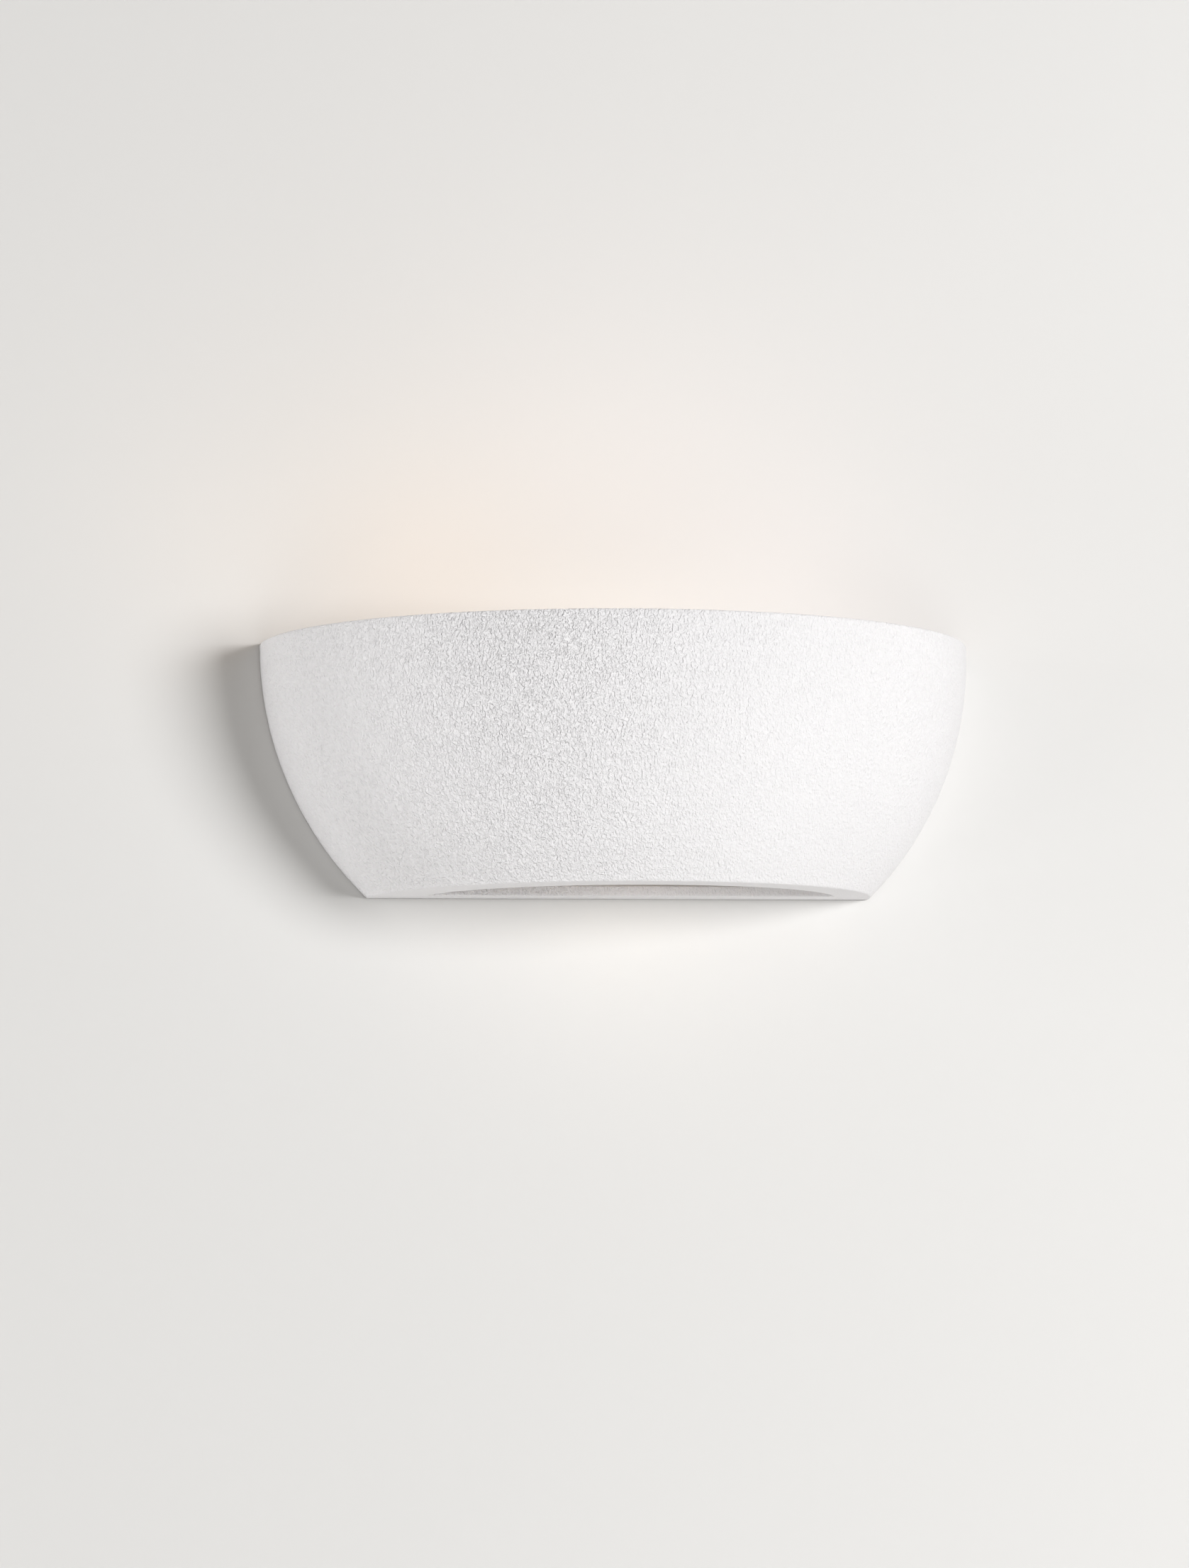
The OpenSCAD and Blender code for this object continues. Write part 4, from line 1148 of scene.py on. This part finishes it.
@dataclass
class ShadeCarrier:
    """The strap on the shade's back, its screws and inserts, and the clamp screw, in millimetres."""

    strap_edge: float = 0.3
    boss_front: float = 152.0
    boss_root: float = 162.5
    boss_y: float = -12.0
    boss_z: float = 36.0
    screw_seat: float = 1.5
    shank_radius: float = 2.0
    insert_radius: float = 3.2
    nut_y: float = -3.7
    clamp_tip_y: float = -1.5
    grooves: int = 24
    groove_depth: float = 0.42
    head_edge: float = 5.6

    def boss(self) -> Mesh:
        """One boss from its bored face (at height 0) into the bowl's wall, swelling at its root."""
        root = self.boss_root - self.boss_front
        outline = [(3.25, 0.3), (3.55, 0.0), (7.4, 0.0), (8.0, 0.6), (8.0, root * 0.35)]
        outline += [(8.0 + 2.2 * (i / 5) ** 2, root * (0.35 + 0.65 * i / 5)) for i in range(1, 6)]
        outline += [(3.25, root)]
        return turned(outline, 56)

    def insert(self) -> Mesh:
        """One threaded insert, its mouth at height 0 facing +Z."""
        ribs = [(self.insert_radius - 0.25 * (i % 2), -0.8 - 0.7 * i) for i in range(10)]
        inside = [(2.05 + 0.18 * (i % 2), -7.6 + 0.36 * i) for i in range(21)]
        return turned([(2.3, 0.0), (3.0, 0.0), (3.2, -0.25), *ribs, (2.9, -8.0), (2.3, -8.0), *inside], 40)

    def screw(self) -> Mesh:
        """One pan head screw with a cross recess, its head on height 0."""
        shank = thread(self.shank_radius, 0.28, -8.0, -0.6, 0.7)
        outline = [(0, -8.0), (1.5, -8.0), *shank, (1.9, -0.3), (1.9, 0.0), (3.85, 0.0), (4.0, 0.2), (4.0, 1.0),
                   (3.75, 1.6), (3.2, 2.05), (2.2, 2.33), (1.0, 2.4), (0, 2.4)]
        return carved(turned(outline, 48), slab((-2.1, -0.38, 1.1), (2.1, 0.38, 3.0)),
                      slab((-0.38, -2.1, 1.1), (0.38, 2.1, 3.0)))

    def clinch_nut(self) -> Mesh:
        """The nut pressed into the strap, its flange facing +Z."""
        inside = [(1.85 + 0.16 * (i % 2), 0.2 + 0.35 * i) for i in range(9)]
        return turned([(2.1, 0.0), (2.95, 0.0), (2.95, 1.5), (4.3, 1.5), (4.5, 1.7), (4.5, 3.3), (4.3, 3.5),
                       (2.2, 3.5), *inside[::-1]], 48)

    def thumb_screw(self, knurl: GeometryTree) -> Mesh:
        """The knurled clamp screw, its tip at height 0 and its slotted head towards +Z."""
        shank = thread(2.0, 0.26, 0.6, 6.6, 0.7)
        outline = [(0, 0.0), (1.4, 0.0), *shank, (1.9, 6.9), (1.9, 7.0), (4.4, 7.0), (4.8, 7.25), (4.8, 7.8),
                   (5.3, 8.05), *[(6.0, 8.3 + 0.5 * i) for i in range(11)], (5.4, 13.9), (5.0, 14.0), (0, 14.0)]
        body = knurl.bake("knurled", turned(outline, 288), grooves=float(self.grooves),
                          depth=self.groove_depth * MM, edge=self.head_edge * MM, material=PAINTS.get("clamp_steel"))
        head = carved(body.data.copy(), slab((-7.0, -0.6, 12.5), (7.0, 0.6, 15.0)))
        bpy.data.objects.remove(body)
        return head

    def build(self, trees: Trees) -> None:
        """Builds the pieces and puts them on the shade and on the clamp."""
        out, back = both(1, 0, 0), both(-1, 0, 0)
        spots = both(self.boss_front, self.boss_y, self.boss_z)
        seats = both(self.boss_front - self.screw_seat, self.boss_y, self.boss_z)
        rounded_copies(Body.SHADE, ("back_strap", self.strap_edge, "strap_steel", "hanging_strap"))
        trees.set_on("cast_bosses", self.boss(), spots, out, 3, "shade_ceramic", Body.SHADE)
        trees.set_on("threaded_inserts", self.insert(), spots, back, 5, "brass", Body.SHADE, "strap_inserts")
        trees.set_on("strap_end_screws", self.screw(), seats, back, 7, "zinc_steel", Body.SHADE, "strap_screws")
        nut = aimed(self.clinch_nut(), FORWARD, (0, self.nut_y, self.boss_z))
        place_piece(link("clinch_nut", nut, crease=CREASE_ANGLE), "zinc_steel", Body.SHADE, "clamp_nut")
        clamp = aimed(self.thumb_screw(trees.knurl), FORWARD, (0, self.clamp_tip_y, self.boss_z))
        place_piece(link("thumb_screw", clamp, crease=CREASE_ANGLE), "clamp_steel", Body.CLAMP, "clamp_screw")


# The lamp


@dataclass
class LinearLamp:
    """The double-ended lamp: glass tube, filament and ceramic caps, in millimetres."""

    bore_end: float = 38.0
    bore_close: float = 34.0
    pinch_start: float = 38.8
    pinch_length: float = 4.6
    rings: tuple[tuple[float, float, int], ...] = ((0.0, 38.5, 30), (38.8, 44.0, 14), (45.0, 50.3, 5))
    tube_radius: float = 5.0
    bore_radius: float = 4.0
    pinch_half: tuple[float, float] = (4.0, 1.5)
    coil_half: float = 33.3
    coil_turns: float = 120.0
    coil_radius: float = 0.5
    coil_wire: float = 0.16
    lead_wire: float = 0.25
    lead_step: float = 0.7
    lead_ends: tuple[float, float] = (36.0, 38.0)
    support_gap: float = 16.65
    support_drop: float = 1.6
    support_radius: float = 3.7
    cap_edge: float = 0.35
    around: int = 48

    def section(self, x: float, half_y: float, half_z: float, power: float) -> list[Point]:
        """One ring of points across the lamp, round at power 2 and boxy above it."""
        ring = []
        for i in range(self.around):
            a = FULL_TURN * i / self.around
            c, s = math.cos(a), math.sin(a)
            y = math.copysign(abs(c) ** (2 / power), c) * half_y
            z = math.copysign(abs(s) ** (2 / power), s) * half_z
            ring.append((x * MM, (LAMP_Y + y) * MM, (LAMP_Z + z) * MM))
        return ring

    def skin(self, rings: list[list[Point]]) -> Mesh:
        """The closed skin over rings that follow each other along the lamp."""
        count, last = self.around, (len(rings) - 1) * self.around
        faces: list[tuple[int, ...]] = []
        for start in range(0, last, count):
            for i in range(count):
                j = (i + 1) % count
                faces.append((start + i, start + count + i, start + count + j, start + j))
        faces += [tuple(range(count)), tuple(range(last, last + count))]
        return outward(new_mesh("skin", [p for ring in rings for p in ring], faces))

    def glass(self) -> Mesh:
        """The tube with its pinched ends and the hollow inside it."""
        shown = [x for start, stop, count in self.rings for x in np.linspace(start, stop, count)]
        outer, inner = [], []
        for x in [*(-x for x in shown[:0:-1]), *shown]:
            t = min(1.0, max(0.0, (abs(x) - self.pinch_start) / self.pinch_length))
            t = t * t * (3 - 2 * t)
            half_y, half_z = (self.tube_radius + (half - self.tube_radius) * t for half in self.pinch_half)
            outer.append(self.section(x, half_y, half_z, 2.0 + 3.0 * t))
        for x in np.linspace(-self.bore_end, self.bore_end, 61):
            close = max(0.0, (abs(x) - self.bore_close) / (self.bore_end - self.bore_close))
            radius = self.bore_radius * math.sqrt(max(0.02, 1 - close**3))
            inner.append(self.section(x, radius, radius, 2.0))
        hollow = self.skin(inner)
        hollow.flip_normals()
        return merge(bpy.data.meshes.new("glass"), self.skin(outer), hollow)

    def supports(self, trees: Trees) -> list[Object]:
        """The filament's straight leads and its round supports, as routes of thin wire."""
        y, z = LAMP_Y, LAMP_Z
        routes = [[(s * x, y, z) for x in (self.coil_half, *self.lead_ends)] for s in (-1, 1)]
        turns = [math.radians(a) for a in range(15, 330, 15)]
        for x in (-self.support_gap, 0.0, self.support_gap):
            ring = [(x, y - self.support_radius * math.sin(a), z - self.support_radius * math.cos(a)) for a in turns]
            routes.append([(x, y, z), (x, y, z - self.support_drop), *ring])
        return [
            trees.lay(f"support_{number}", route, self.lead_wire, self.lead_step, "filament_wire")
            for number, route in enumerate(routes)
        ]

    def build(self, trees: Trees) -> None:
        """Builds the pieces and puts them on the lamp's body."""
        place_piece(link("quartz_tube", self.glass()), "lamp_glass", Body.LAMP, "lamp_tube")
        coil = trees.wind("lamp_coil", (-self.coil_half, LAMP_Y, LAMP_Z), self.coil_radius, 2 * self.coil_half,
                          self.coil_turns, self.coil_wire, "filament_wire")
        join(coil, self.supports(trees))
        place_piece(coil, "filament_wire", Body.LAMP, "lamp_filament")
        rounded_copies(Body.LAMP, ("end_caps", self.cap_edge, "cap_ceramic", "lamp_caps"))


def join(piece: Object, others: Sequence[Object]) -> Object:
    """Adds other objects' meshes to a piece and removes them."""
    merge(piece.data, piece.data, *(other.data for other in others))
    for other in others:
        bpy.data.objects.remove(other)
    piece.data.polygons.foreach_set("use_smooth", [True] * len(piece.data.polygons))
    return piece


# Lampholders, reflector and bracket


@dataclass
class Lampholders:
    """The two ceramic holders with their screws, nuts, insulators and contact spring, in millimetres."""

    edge: float = 0.45
    small_edge: float = 0.2
    hole_step: float = 12.7
    ear_out: float = 85.3
    spring_start: float = 67.8
    spring_length: float = 12.7
    spring_turns: float = 6.0
    spring_radius: float = 3.2
    spring_wire: float = 0.3
    spring_anchor: float = 80.8
    spring_keep: float = 0.70

    def screw(self) -> Mesh:
        """One slotted pan head screw, its head on height 0."""
        shank = thread(1.5, 0.2, -9.5, -0.4, 0.5)
        outline = [(0, -9.5), (1.1, -9.5), *shank, (1.45, -0.2), (1.45, 0.0), (2.65, 0.0), (2.8, 0.15), (2.8, 1.0),
                   (2.6, 1.55), (2.0, 1.9), (1.0, 2.0), (0, 2.0)]
        return carved(turned(outline, 40), slab((-3.5, -0.35, 1.0), (3.5, 0.35, 3.0)))

    def build(self, trees: Trees) -> None:
        """Builds the pieces and puts them on the bracket."""
        rounded_copies(
            Body.BRACKET, ("left_lampholder", self.edge, "steatite", "fixed_holder"),
            ("right_lampholder", self.edge, "steatite", "sprung_holder"),
        )
        steps = (-self.hole_step, self.hole_step)
        spots = [(side.value * self.ear_out, LAMP_Y, LAMP_Z + step) for side in Side for step in steps]
        aims = [(side.value, 0, 0) for side in Side for _ in steps]
        trees.set_on("holder_fixing_screws", self.screw(), spots, aims, 11, "zinc_steel", Body.BRACKET,
                     "holder_screws")
        rounded_copies(
            Body.BRACKET, ("holder_hex_nuts", self.small_edge, "zinc_steel", "holder_nuts"),
            ("rear_insulating_rings", self.small_edge, "steatite", "rear_insulators"),
        )
        spring = trees.wind("plunger_spring", (self.spring_start, LAMP_Y, LAMP_Z), self.spring_radius,
                            self.spring_length, self.spring_turns, self.spring_wire, "spring_steel")
        place_piece(spring, "spring_steel", Body.BRACKET, "contact_spring")
        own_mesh(spring)


@dataclass
class BracketPlate:
    """The white bracket with its reflector, rivets, grommet and bushes, in millimetres."""

    edge: float = 0.45
    sheet_edge: float = 0.15
    rivet_place: Point = (83.0, -17.0, 10.0)
    bush_place: Point = (82.8, -9.0, -12.0)
    grommet_z: float = 12.0

    def rivet(self) -> Mesh:
        """One blind rivet, from its upset end at height -1 to its domed head."""
        return turned([(0, -1.0), (1.9, -1.0), (2.7, -0.7), (3.2, 0.0), (1.6, 0.05), (1.6, 2.25), (3.2, 2.3),
                       (3.15, 2.6), (2.6, 3.05), (1.6, 3.3), (0.95, 3.2), (0.8, 2.9), (0, 2.85)], 40)

    def bush(self) -> Mesh:
        """One snap bush from its inner flange at height 0 outwards."""
        return turned([(2.0, 0.0), (4.2, 0.0), (4.5, 0.3), (4.5, 0.95), (3.15, 1.05), (3.15, 2.45), (4.5, 2.55),
                       (4.5, 3.2), (4.1, 3.5), (2.1, 3.5), (1.8, 3.2), (1.75, 1.75), (1.8, 0.3)], 48)

    def grommet(self) -> Mesh:
        """The rubber cable entry from its back flange to its cone's lip."""
        cone = [(8.5 - 2.8 * i / 6 - 0.18 * (i % 2), 3.0 + 0.5 * i) for i in range(7)]
        return turned([(4.5, 0.0), (7.6, 0.0), (7.95, 0.25), (7.95, 1.5), (9.7, 1.55), (10.0, 1.85), (10.0, 2.6),
                       (9.6, 3.0), *cone, (5.3, 6.0), (4.7, 5.9), (4.5, 5.6)], 64)

    def build(self, trees: Trees) -> None:
        """Builds the pieces and puts them on the bracket."""
        rounded_copies(
            Body.BRACKET, ("bracket_plate", self.edge, "white_sheet", "wall_bracket"),
            ("lamp_reflector", self.sheet_edge, "reflector_sheet", "reflector"),
        )
        out = both(1, 0, 0)
        trees.set_on("reflector_side_rivets", self.rivet(), both(*self.rivet_place), out, 13, "rivet_aluminium",
                     Body.BRACKET, "reflector_rivets")
        trees.set_on("ear_bushes", self.bush(), both(*self.bush_place), out, 17, "bush_nylon", Body.BRACKET,
                     "wire_bushes")
        entry = aimed(self.grommet(), FORWARD, (0, 0, self.grommet_z))
        place_piece(link("cable_entry", entry, crease=CREASE_ANGLE), "grommet_rubber", Body.BRACKET, "cable_grommet")


# Electrical pieces


@dataclass
class Wiring:
    """Terminal block, earth point and sleeved wires, in millimetres."""

    sleeve_radius: float = 1.4
    core_radius: float = 0.6
    step: float = 0.8
    block_edge: float = 0.5
    pole_step: float = 10.0
    stud_place: Point = (34.0, -1.5, -4.0)
    screw_front: float = -14.0
    screw_levels: tuple[float, float] = (-17.5, -8.5)
    strip: float = 8.1
    rear_tip: Point = (95.0, -49.8, 10.0)
    earth_tip: Point = (34.0, -4.5, -12.6)
    nut_edge: float = 0.25
    thin_edge: float = 0.12

    def ear_route(self, pole: float) -> list[Point]:
        """The route of a wire from its pole to the right-hand holder's rear terminal."""
        return [
            (pole, -7.5, -22.1), (pole, -7.5, -25.0), (pole + 6, -4.0, -29.0), (pole + 16, -3.0, -29.0),
            (59.8, -3.0, -29.0), (71.8, -4.5, -24.0), (77.8, -9.0, -14.0), (82.8, -9.0, -12.0),
            (87.3, -9.0, -12.0), (94.0, -13.0, -11.0), (95.0, -21.0, -6.0), (95.0, -38.4, 9.0),
            (95.0, -43.4, 10.0), (95.0, -47.4, 10.0),
        ]

    def earth_route(self) -> list[Point]:
        """The route of the earth wire from its pole to its tag."""
        return [(10.0, -7.5, -22.1), (10.0, -7.5, -24.0), (14.0, -7.5, -26.0), (24.0, -6.0, -25.5),
                (32.0, -5.0, -21.5), (34.0, -4.5, -18.5), (34.0, -4.5, -16.1)]

    def wire(
        self, trees: Trees, name: str, slot: str, node: str, route: list[Point], tip: Point, side: Side
    ) -> None:
        """Builds one wire: its braided sleeve, and the bare core that stands out at both its ends.

        Args:
            trees: the geometry trees.
            name: the wire's name.
            slot: the sleeve's material slot.
            node: the node that it replaces.
            route: its points, drawn for the right-hand side.
            tip: where the core's far end is.
            side: the side that it really runs on.
        """
        turn = side.value
        mirrored = [(turn * x, y, z) for x, y, z in route]
        place_piece(trees.lay(name, mirrored, self.sleeve_radius, self.step, slot), slot, Body.BRACKET, node)
        near, far = mirrored[0], mirrored[-1]
        ends = [[(near[0], near[1], near[2] + self.strip), (near[0], near[1], near[2] + 3), near],
                [far, (turn * tip[0], tip[1], tip[2])]]
        cores = [trees.lay(f"{name}_end_{i}", end, self.core_radius, self.step, "contact_metal")
                 for i, end in enumerate(ends)]
        core = join(cores[0], cores[1:])
        core.name = f"{name}_core"
        place_piece(core, "contact_metal", Body.BRACKET)

    def clamp_screw(self) -> Mesh:
        """One small slotted terminal screw, its head's top at height 0."""
        shank = thread(1.3, 0.18, -5.9, -3.1, 0.45)
        return carved(turned([(0, -5.9), (0.9, -5.9), *shank, (1.25, -3.0), (1.8, -3.0), (1.9, -2.85), (1.9, -0.25),
                              (1.65, 0.0), (0, 0.0)], 32), slab((-2.5, -0.3, -0.8), (2.5, 0.3, 1.0)))

    def stud(self) -> Mesh:
        """The earth stud from the plate outwards."""
        shank = thread(2.0, 0.26, 1.2, 10.4, 0.7)
        return turned([(0, 0.0), (3.0, 0.0), (3.25, 0.2), (3.25, 0.85), (3.0, 1.0), (1.9, 1.05), *shank, (1.5, 11.0),
                       (0, 11.0)], 40)

    def build(self, trees: Trees) -> None:
        """Builds the pieces and puts them on the bracket."""
        rounded_copies(Body.BRACKET, ("terminal_block", self.block_edge, "block_nylon", "terminal_housing"))
        spots = [(pole * self.pole_step, self.screw_front, z) for pole in (-1, 0, 1) for z in self.screw_levels]
        trees.set_on("terminal_clamp_screws", self.clamp_screw(), spots, [FORWARD] * len(spots), 19, "zinc_steel",
                     Body.BRACKET, "terminal_screws")
        stud = link("earth_post", aimed(self.stud(), FORWARD, self.stud_place), crease=CREASE_ANGLE)
        place_piece(stud, "zinc_steel", Body.BRACKET, "earth_stud")
        rounded_copies(
            Body.BRACKET, ("earth_hex_nut", self.nut_edge, "zinc_steel", "earth_nut"),
            ("earth_flat_washer", self.thin_edge, "zinc_steel", "earth_washer"),
            ("earth_ring_tag", self.thin_edge, "tinned_tag", "earth_tag"),
        )
        for kind, route, tip, side in (
            ("neutral", self.ear_route(0.0), self.rear_tip, Side.RIGHT),
            ("live", self.ear_route(self.pole_step), self.rear_tip, Side.LEFT),
            ("earth", self.earth_route(), self.earth_tip, Side.RIGHT),
        ):
            self.wire(trees, f"{kind}_sleeve_wire", f"{kind}_sleeve", f"{kind}_wire", route, tip, side)


# Stage, light and camera


def put_light(data: bpy.types.Light, place: Point, reach: Reach, wall: Object) -> Object:
    """Puts a light in the scene.

    Args:
        data: the light itself.
        place: where it goes.
        reach: what it lights.
        wall: the stage's wall.

    Returns:
        The new object.
    """
    light = add_object(data.name, data)
    light.location = place
    if reach is not Reach.BOTH:
        lit = bpy.data.collections.new(data.name + "_onto")
        lit.objects.link(wall)
        light.light_linking.receiver_collection = lit
        lit.collection_objects[0].light_linking.link_state = reach.value
    return light


@dataclass(frozen=True)
class StudioLight:
    """One soft white light that looks at the object, with its place and diameter in metres."""

    name: str
    place: Point
    diameter: float
    power: float
    reach: Reach

    def add(self, wall: Object) -> None:
        """Adds the light."""
        data = bpy.data.lights.new(self.name, "AREA")
        data.shape, data.size, data.energy = "DISK", self.diameter, self.power
        light = put_light(data, self.place, self.reach, wall)
        light.rotation_mode = "QUATERNION"
        light.rotation_quaternion = (-Vector(self.place)).to_track_quat("-Z", "Y")


@dataclass(frozen=True)
class WarmLight:
    """One small warm light where the lamp's light comes out, with its place in metres."""

    name: str
    place: Point
    power: float
    tone: Colour
    radius: float
    reach: Reach = Reach.WALL

    def add(self, wall: Object) -> None:
        """Adds the light, which the camera and reflections don't show."""
        data = bpy.data.lights.new(self.name, "POINT")
        data.energy, data.color, data.shadow_soft_size = self.power, self.tone, self.radius
        light = put_light(data, self.place, self.reach, wall)
        light.visible_camera = light.visible_glossy = False


LIGHTS: tuple["StudioLight | WarmLight", ...] = (
    StudioLight("wall_key", (2.87, -3.19, 0.20), 1.75, 180.0, Reach.WALL),
    StudioLight("wall_low", (0.30, -2.30, -1.40), 1.20, 4.5, Reach.WALL),
    StudioLight("key", (1.95, -2.38, 0.12), 0.75, 33.2, Reach.OBJECT),
    StudioLight("key_wide", (2.30, -2.00, 0.10), 1.00, 7.5, Reach.OBJECT),
    StudioLight("top_soft", (-0.30, -1.70, 1.90), 0.90, 11.0, Reach.OBJECT),
    StudioLight("key_front", (1.65, -2.58, 0.10), 0.60, 20.8, Reach.OBJECT),
    StudioLight("fill_front", (-0.80, -3.00, -0.70), 1.60, 21.5, Reach.OBJECT),
    StudioLight("fill_left", (-2.70, -0.40, 0.10), 0.60, 13.0, Reach.BOTH),
    StudioLight("fill_low", (-2.40, -0.70, -1.0), 1.00, 10.0, Reach.BOTH),
    WarmLight("glow_above", (0.0, -0.124, 0.130), 0.070, (1.0, 0.74, 0.62), 30 * MM),
    WarmLight("glow_above_left", (-0.095, -0.070, 0.090), 0.034, (1.0, 0.50, 0.06), 45 * MM),
    WarmLight("glow_above_right", (0.090, -0.070, 0.090), 0.035, (1.0, 0.86, 0.84), 45 * MM),
    WarmLight("glow_below", (0.0, -0.055, -0.066), 0.011, (1.0, 0.90, 0.74), 24 * MM),
    WarmLight("lamp_light_low", (0.0, -0.042, -0.040), 0.0055, (1.0, 0.86, 0.78), 8 * MM, Reach.BOTH),
    WarmLight("glow_corner", (-0.200, -0.060, 0.105), 0.008, (1.0, 0.62, 0.30), 45 * MM),
    WarmLight("lamp_light_left", (-0.022, -0.050, 0.024), 0.012, (1.0, 0.76, 0.50), 4 * MM, Reach.BOTH),
    WarmLight("lamp_light_right", (0.022, -0.050, 0.024), 0.012, (1.0, 0.76, 0.50), 4 * MM, Reach.BOTH),
)


@dataclass
class Stage:
    """A pale wall behind the object, a pale floor far below it, soft light and the camera."""

    wall_tone: Colour = (0.775, 0.768, 0.757)
    floor_tone: Colour = (0.78, 0.78, 0.77)
    even_tone: Colour = (1.0, 0.955, 0.88)
    even_light: float = 0.14
    seen_tone: Colour = (0.86, 0.86, 0.85)
    cloud_size: float = 0.6
    cloud_dark: float = 0.985
    wall_half: float = 4.0
    wall_gap: float = 0.4 * MM
    floor_level: float = -2.1
    near: float = 6 * MM
    camera_place: Point = (-0.408, -2.008, -0.273)
    camera_yaw: float = -11.18
    camera_pitch: float = 7.32
    camera_roll: float = -0.95
    focal_pixels: float = 6143.0
    picture_height: float = 2212.0
    sensor: float = 36.0

    def plane(self, name: str, corners: Sequence[Point], material: Material) -> Object:
        """Adds one flat piece of stage and returns it."""
        mesh = new_mesh(name, corners, [tuple(range(len(corners)))])
        mesh.materials.append(material)
        flat = link(name, mesh, smooth=False)
        return flat

    def plaster(self, name: str, tone: Colour, see_through: bool) -> Material:
        """A plain matt material for the stage.

        Args:
            name: its name.
            tone: its colour.
            see_through: whether its back doesn't hide the object, and it doesn't darken what touches it.

        Returns:
            The material.
        """
        made = MaterialTree(name)
        cloud = made.spread(made.noise(self.cloud_size, 2.0), 0.3, 0.7)
        darker = tuple(self.cloud_dark * c for c in tone)
        made.set(Base_Color=made.blend(cloud, tone, darker), Roughness=0.9, Specular_IOR_Level=0.1)
        if see_through:
            path = made.node("ShaderNodeLightPath")
            back = made.field("ShaderNodeNewGeometry", output="Backfacing")
            seen = Field(made.tree, path.outputs["Is Camera Ray"])
            close = Field(made.tree, path.outputs["Ray Length"]).math("LESS_THAN", self.near)
            clear = (back * seen) + close * (seen * -1.0 + 1.0)
            nothing = made.out("ShaderNodeBsdfTransparent")
            mixed = made.out("ShaderNodeMixShader", {0: clear, 1: made.shader.outputs[0], 2: nothing})
            made.tree.links.new(mixed, made.tree.nodes["Material Output"].inputs["Surface"])
        return made.material

    def camera(self) -> None:
        """Adds the camera at the photograph's place and angle."""
        yaw, pitch, roll = (math.radians(a) for a in (self.camera_yaw, self.camera_pitch, self.camera_roll))
        level = Vector((-math.sin(yaw), math.cos(yaw), 0.0))
        right = Vector((math.cos(yaw), math.sin(yaw), 0.0))
        forward = math.cos(pitch) * level + math.sin(pitch) * Vector((0, 0, 1))
        up = right.cross(forward)
        turned_right = math.cos(roll) * right + math.sin(roll) * up
        turned_up = math.cos(roll) * up - math.sin(roll) * right
        data = bpy.data.cameras.new("camera")
        data.sensor_width = self.sensor
        data.lens = self.focal_pixels * self.sensor / self.picture_height
        data.clip_start, data.clip_end = 0.05, 60.0
        camera = add_object("camera", data)
        axes = Matrix((turned_right, turned_up, -forward)).transposed()
        camera.matrix_world = Matrix.Translation(self.camera_place) @ axes.to_4x4()
        bpy.context.scene.camera = camera

    def world(self) -> None:
        """Sets the even light that comes from all sides, pale to the camera and in reflections."""
        world = bpy.data.worlds.new("studio")
        world.use_nodes = True
        bpy.context.scene.world = world
        nodes, links = world.node_tree.nodes, world.node_tree.links
        light, seen = nodes["Background"], nodes.new("ShaderNodeBackground")
        light.inputs["Color"].default_value = (*self.even_tone, 1.0)
        light.inputs["Strength"].default_value = self.even_light
        seen.inputs["Color"].default_value = (*self.seen_tone, 1.0)
        path = nodes.new("ShaderNodeLightPath")
        shown = Field(world.node_tree, path.outputs["Is Camera Ray"])
        for other in ("Is Glossy Ray", "Is Transmission Ray"):
            shown = shown.math("MAXIMUM", Field(world.node_tree, path.outputs[other]))
        mix = nodes.new("ShaderNodeMixShader")
        for number, socket in enumerate((shown.socket, light.outputs[0], seen.outputs[0])):
            links.new(socket, mix.inputs[number])
        links.new(mix.outputs[0], nodes["World Output"].inputs["Surface"])

    def build(self) -> None:
        """Builds the stage, the lights and the camera."""
        half, gap, level = self.wall_half, self.wall_gap, self.floor_level
        wall = self.plane(
            "stage_wall", [(-half, gap, level), (half, gap, level), (half, gap, half), (-half, gap, half)],
            self.plaster("stage_plaster", self.wall_tone, True),
        )
        self.plane(
            "stage_floor", [(-half, -half, level), (half, -half, level), (half, half, level), (-half, half, level)],
            self.plaster("stage_ground", self.floor_tone, False),
        )
        self.world()
        for light in LIGHTS:
            light.add(wall)
        self.camera()
        bpy.context.scene.view_settings.view_transform = "Standard"


def main() -> None:
    """Builds the object, its stage and its camera."""
    logging.basicConfig(level=logging.INFO, format="%(name)s: %(message)s")
    Stage().build()
    dress_frame()
    trees = Trees(grain_tree(), fastener_tree(), coil_tree(), sleeve_tree(), knurl_tree())
    CastShade().build(trees.grain)
    ShadeCarrier().build(trees)
    LinearLamp().build(trees)
    Lampholders().build(trees)
    BracketPlate().build(trees)
    Wiring().build(trees)


if __name__ == "__main__":
    main()
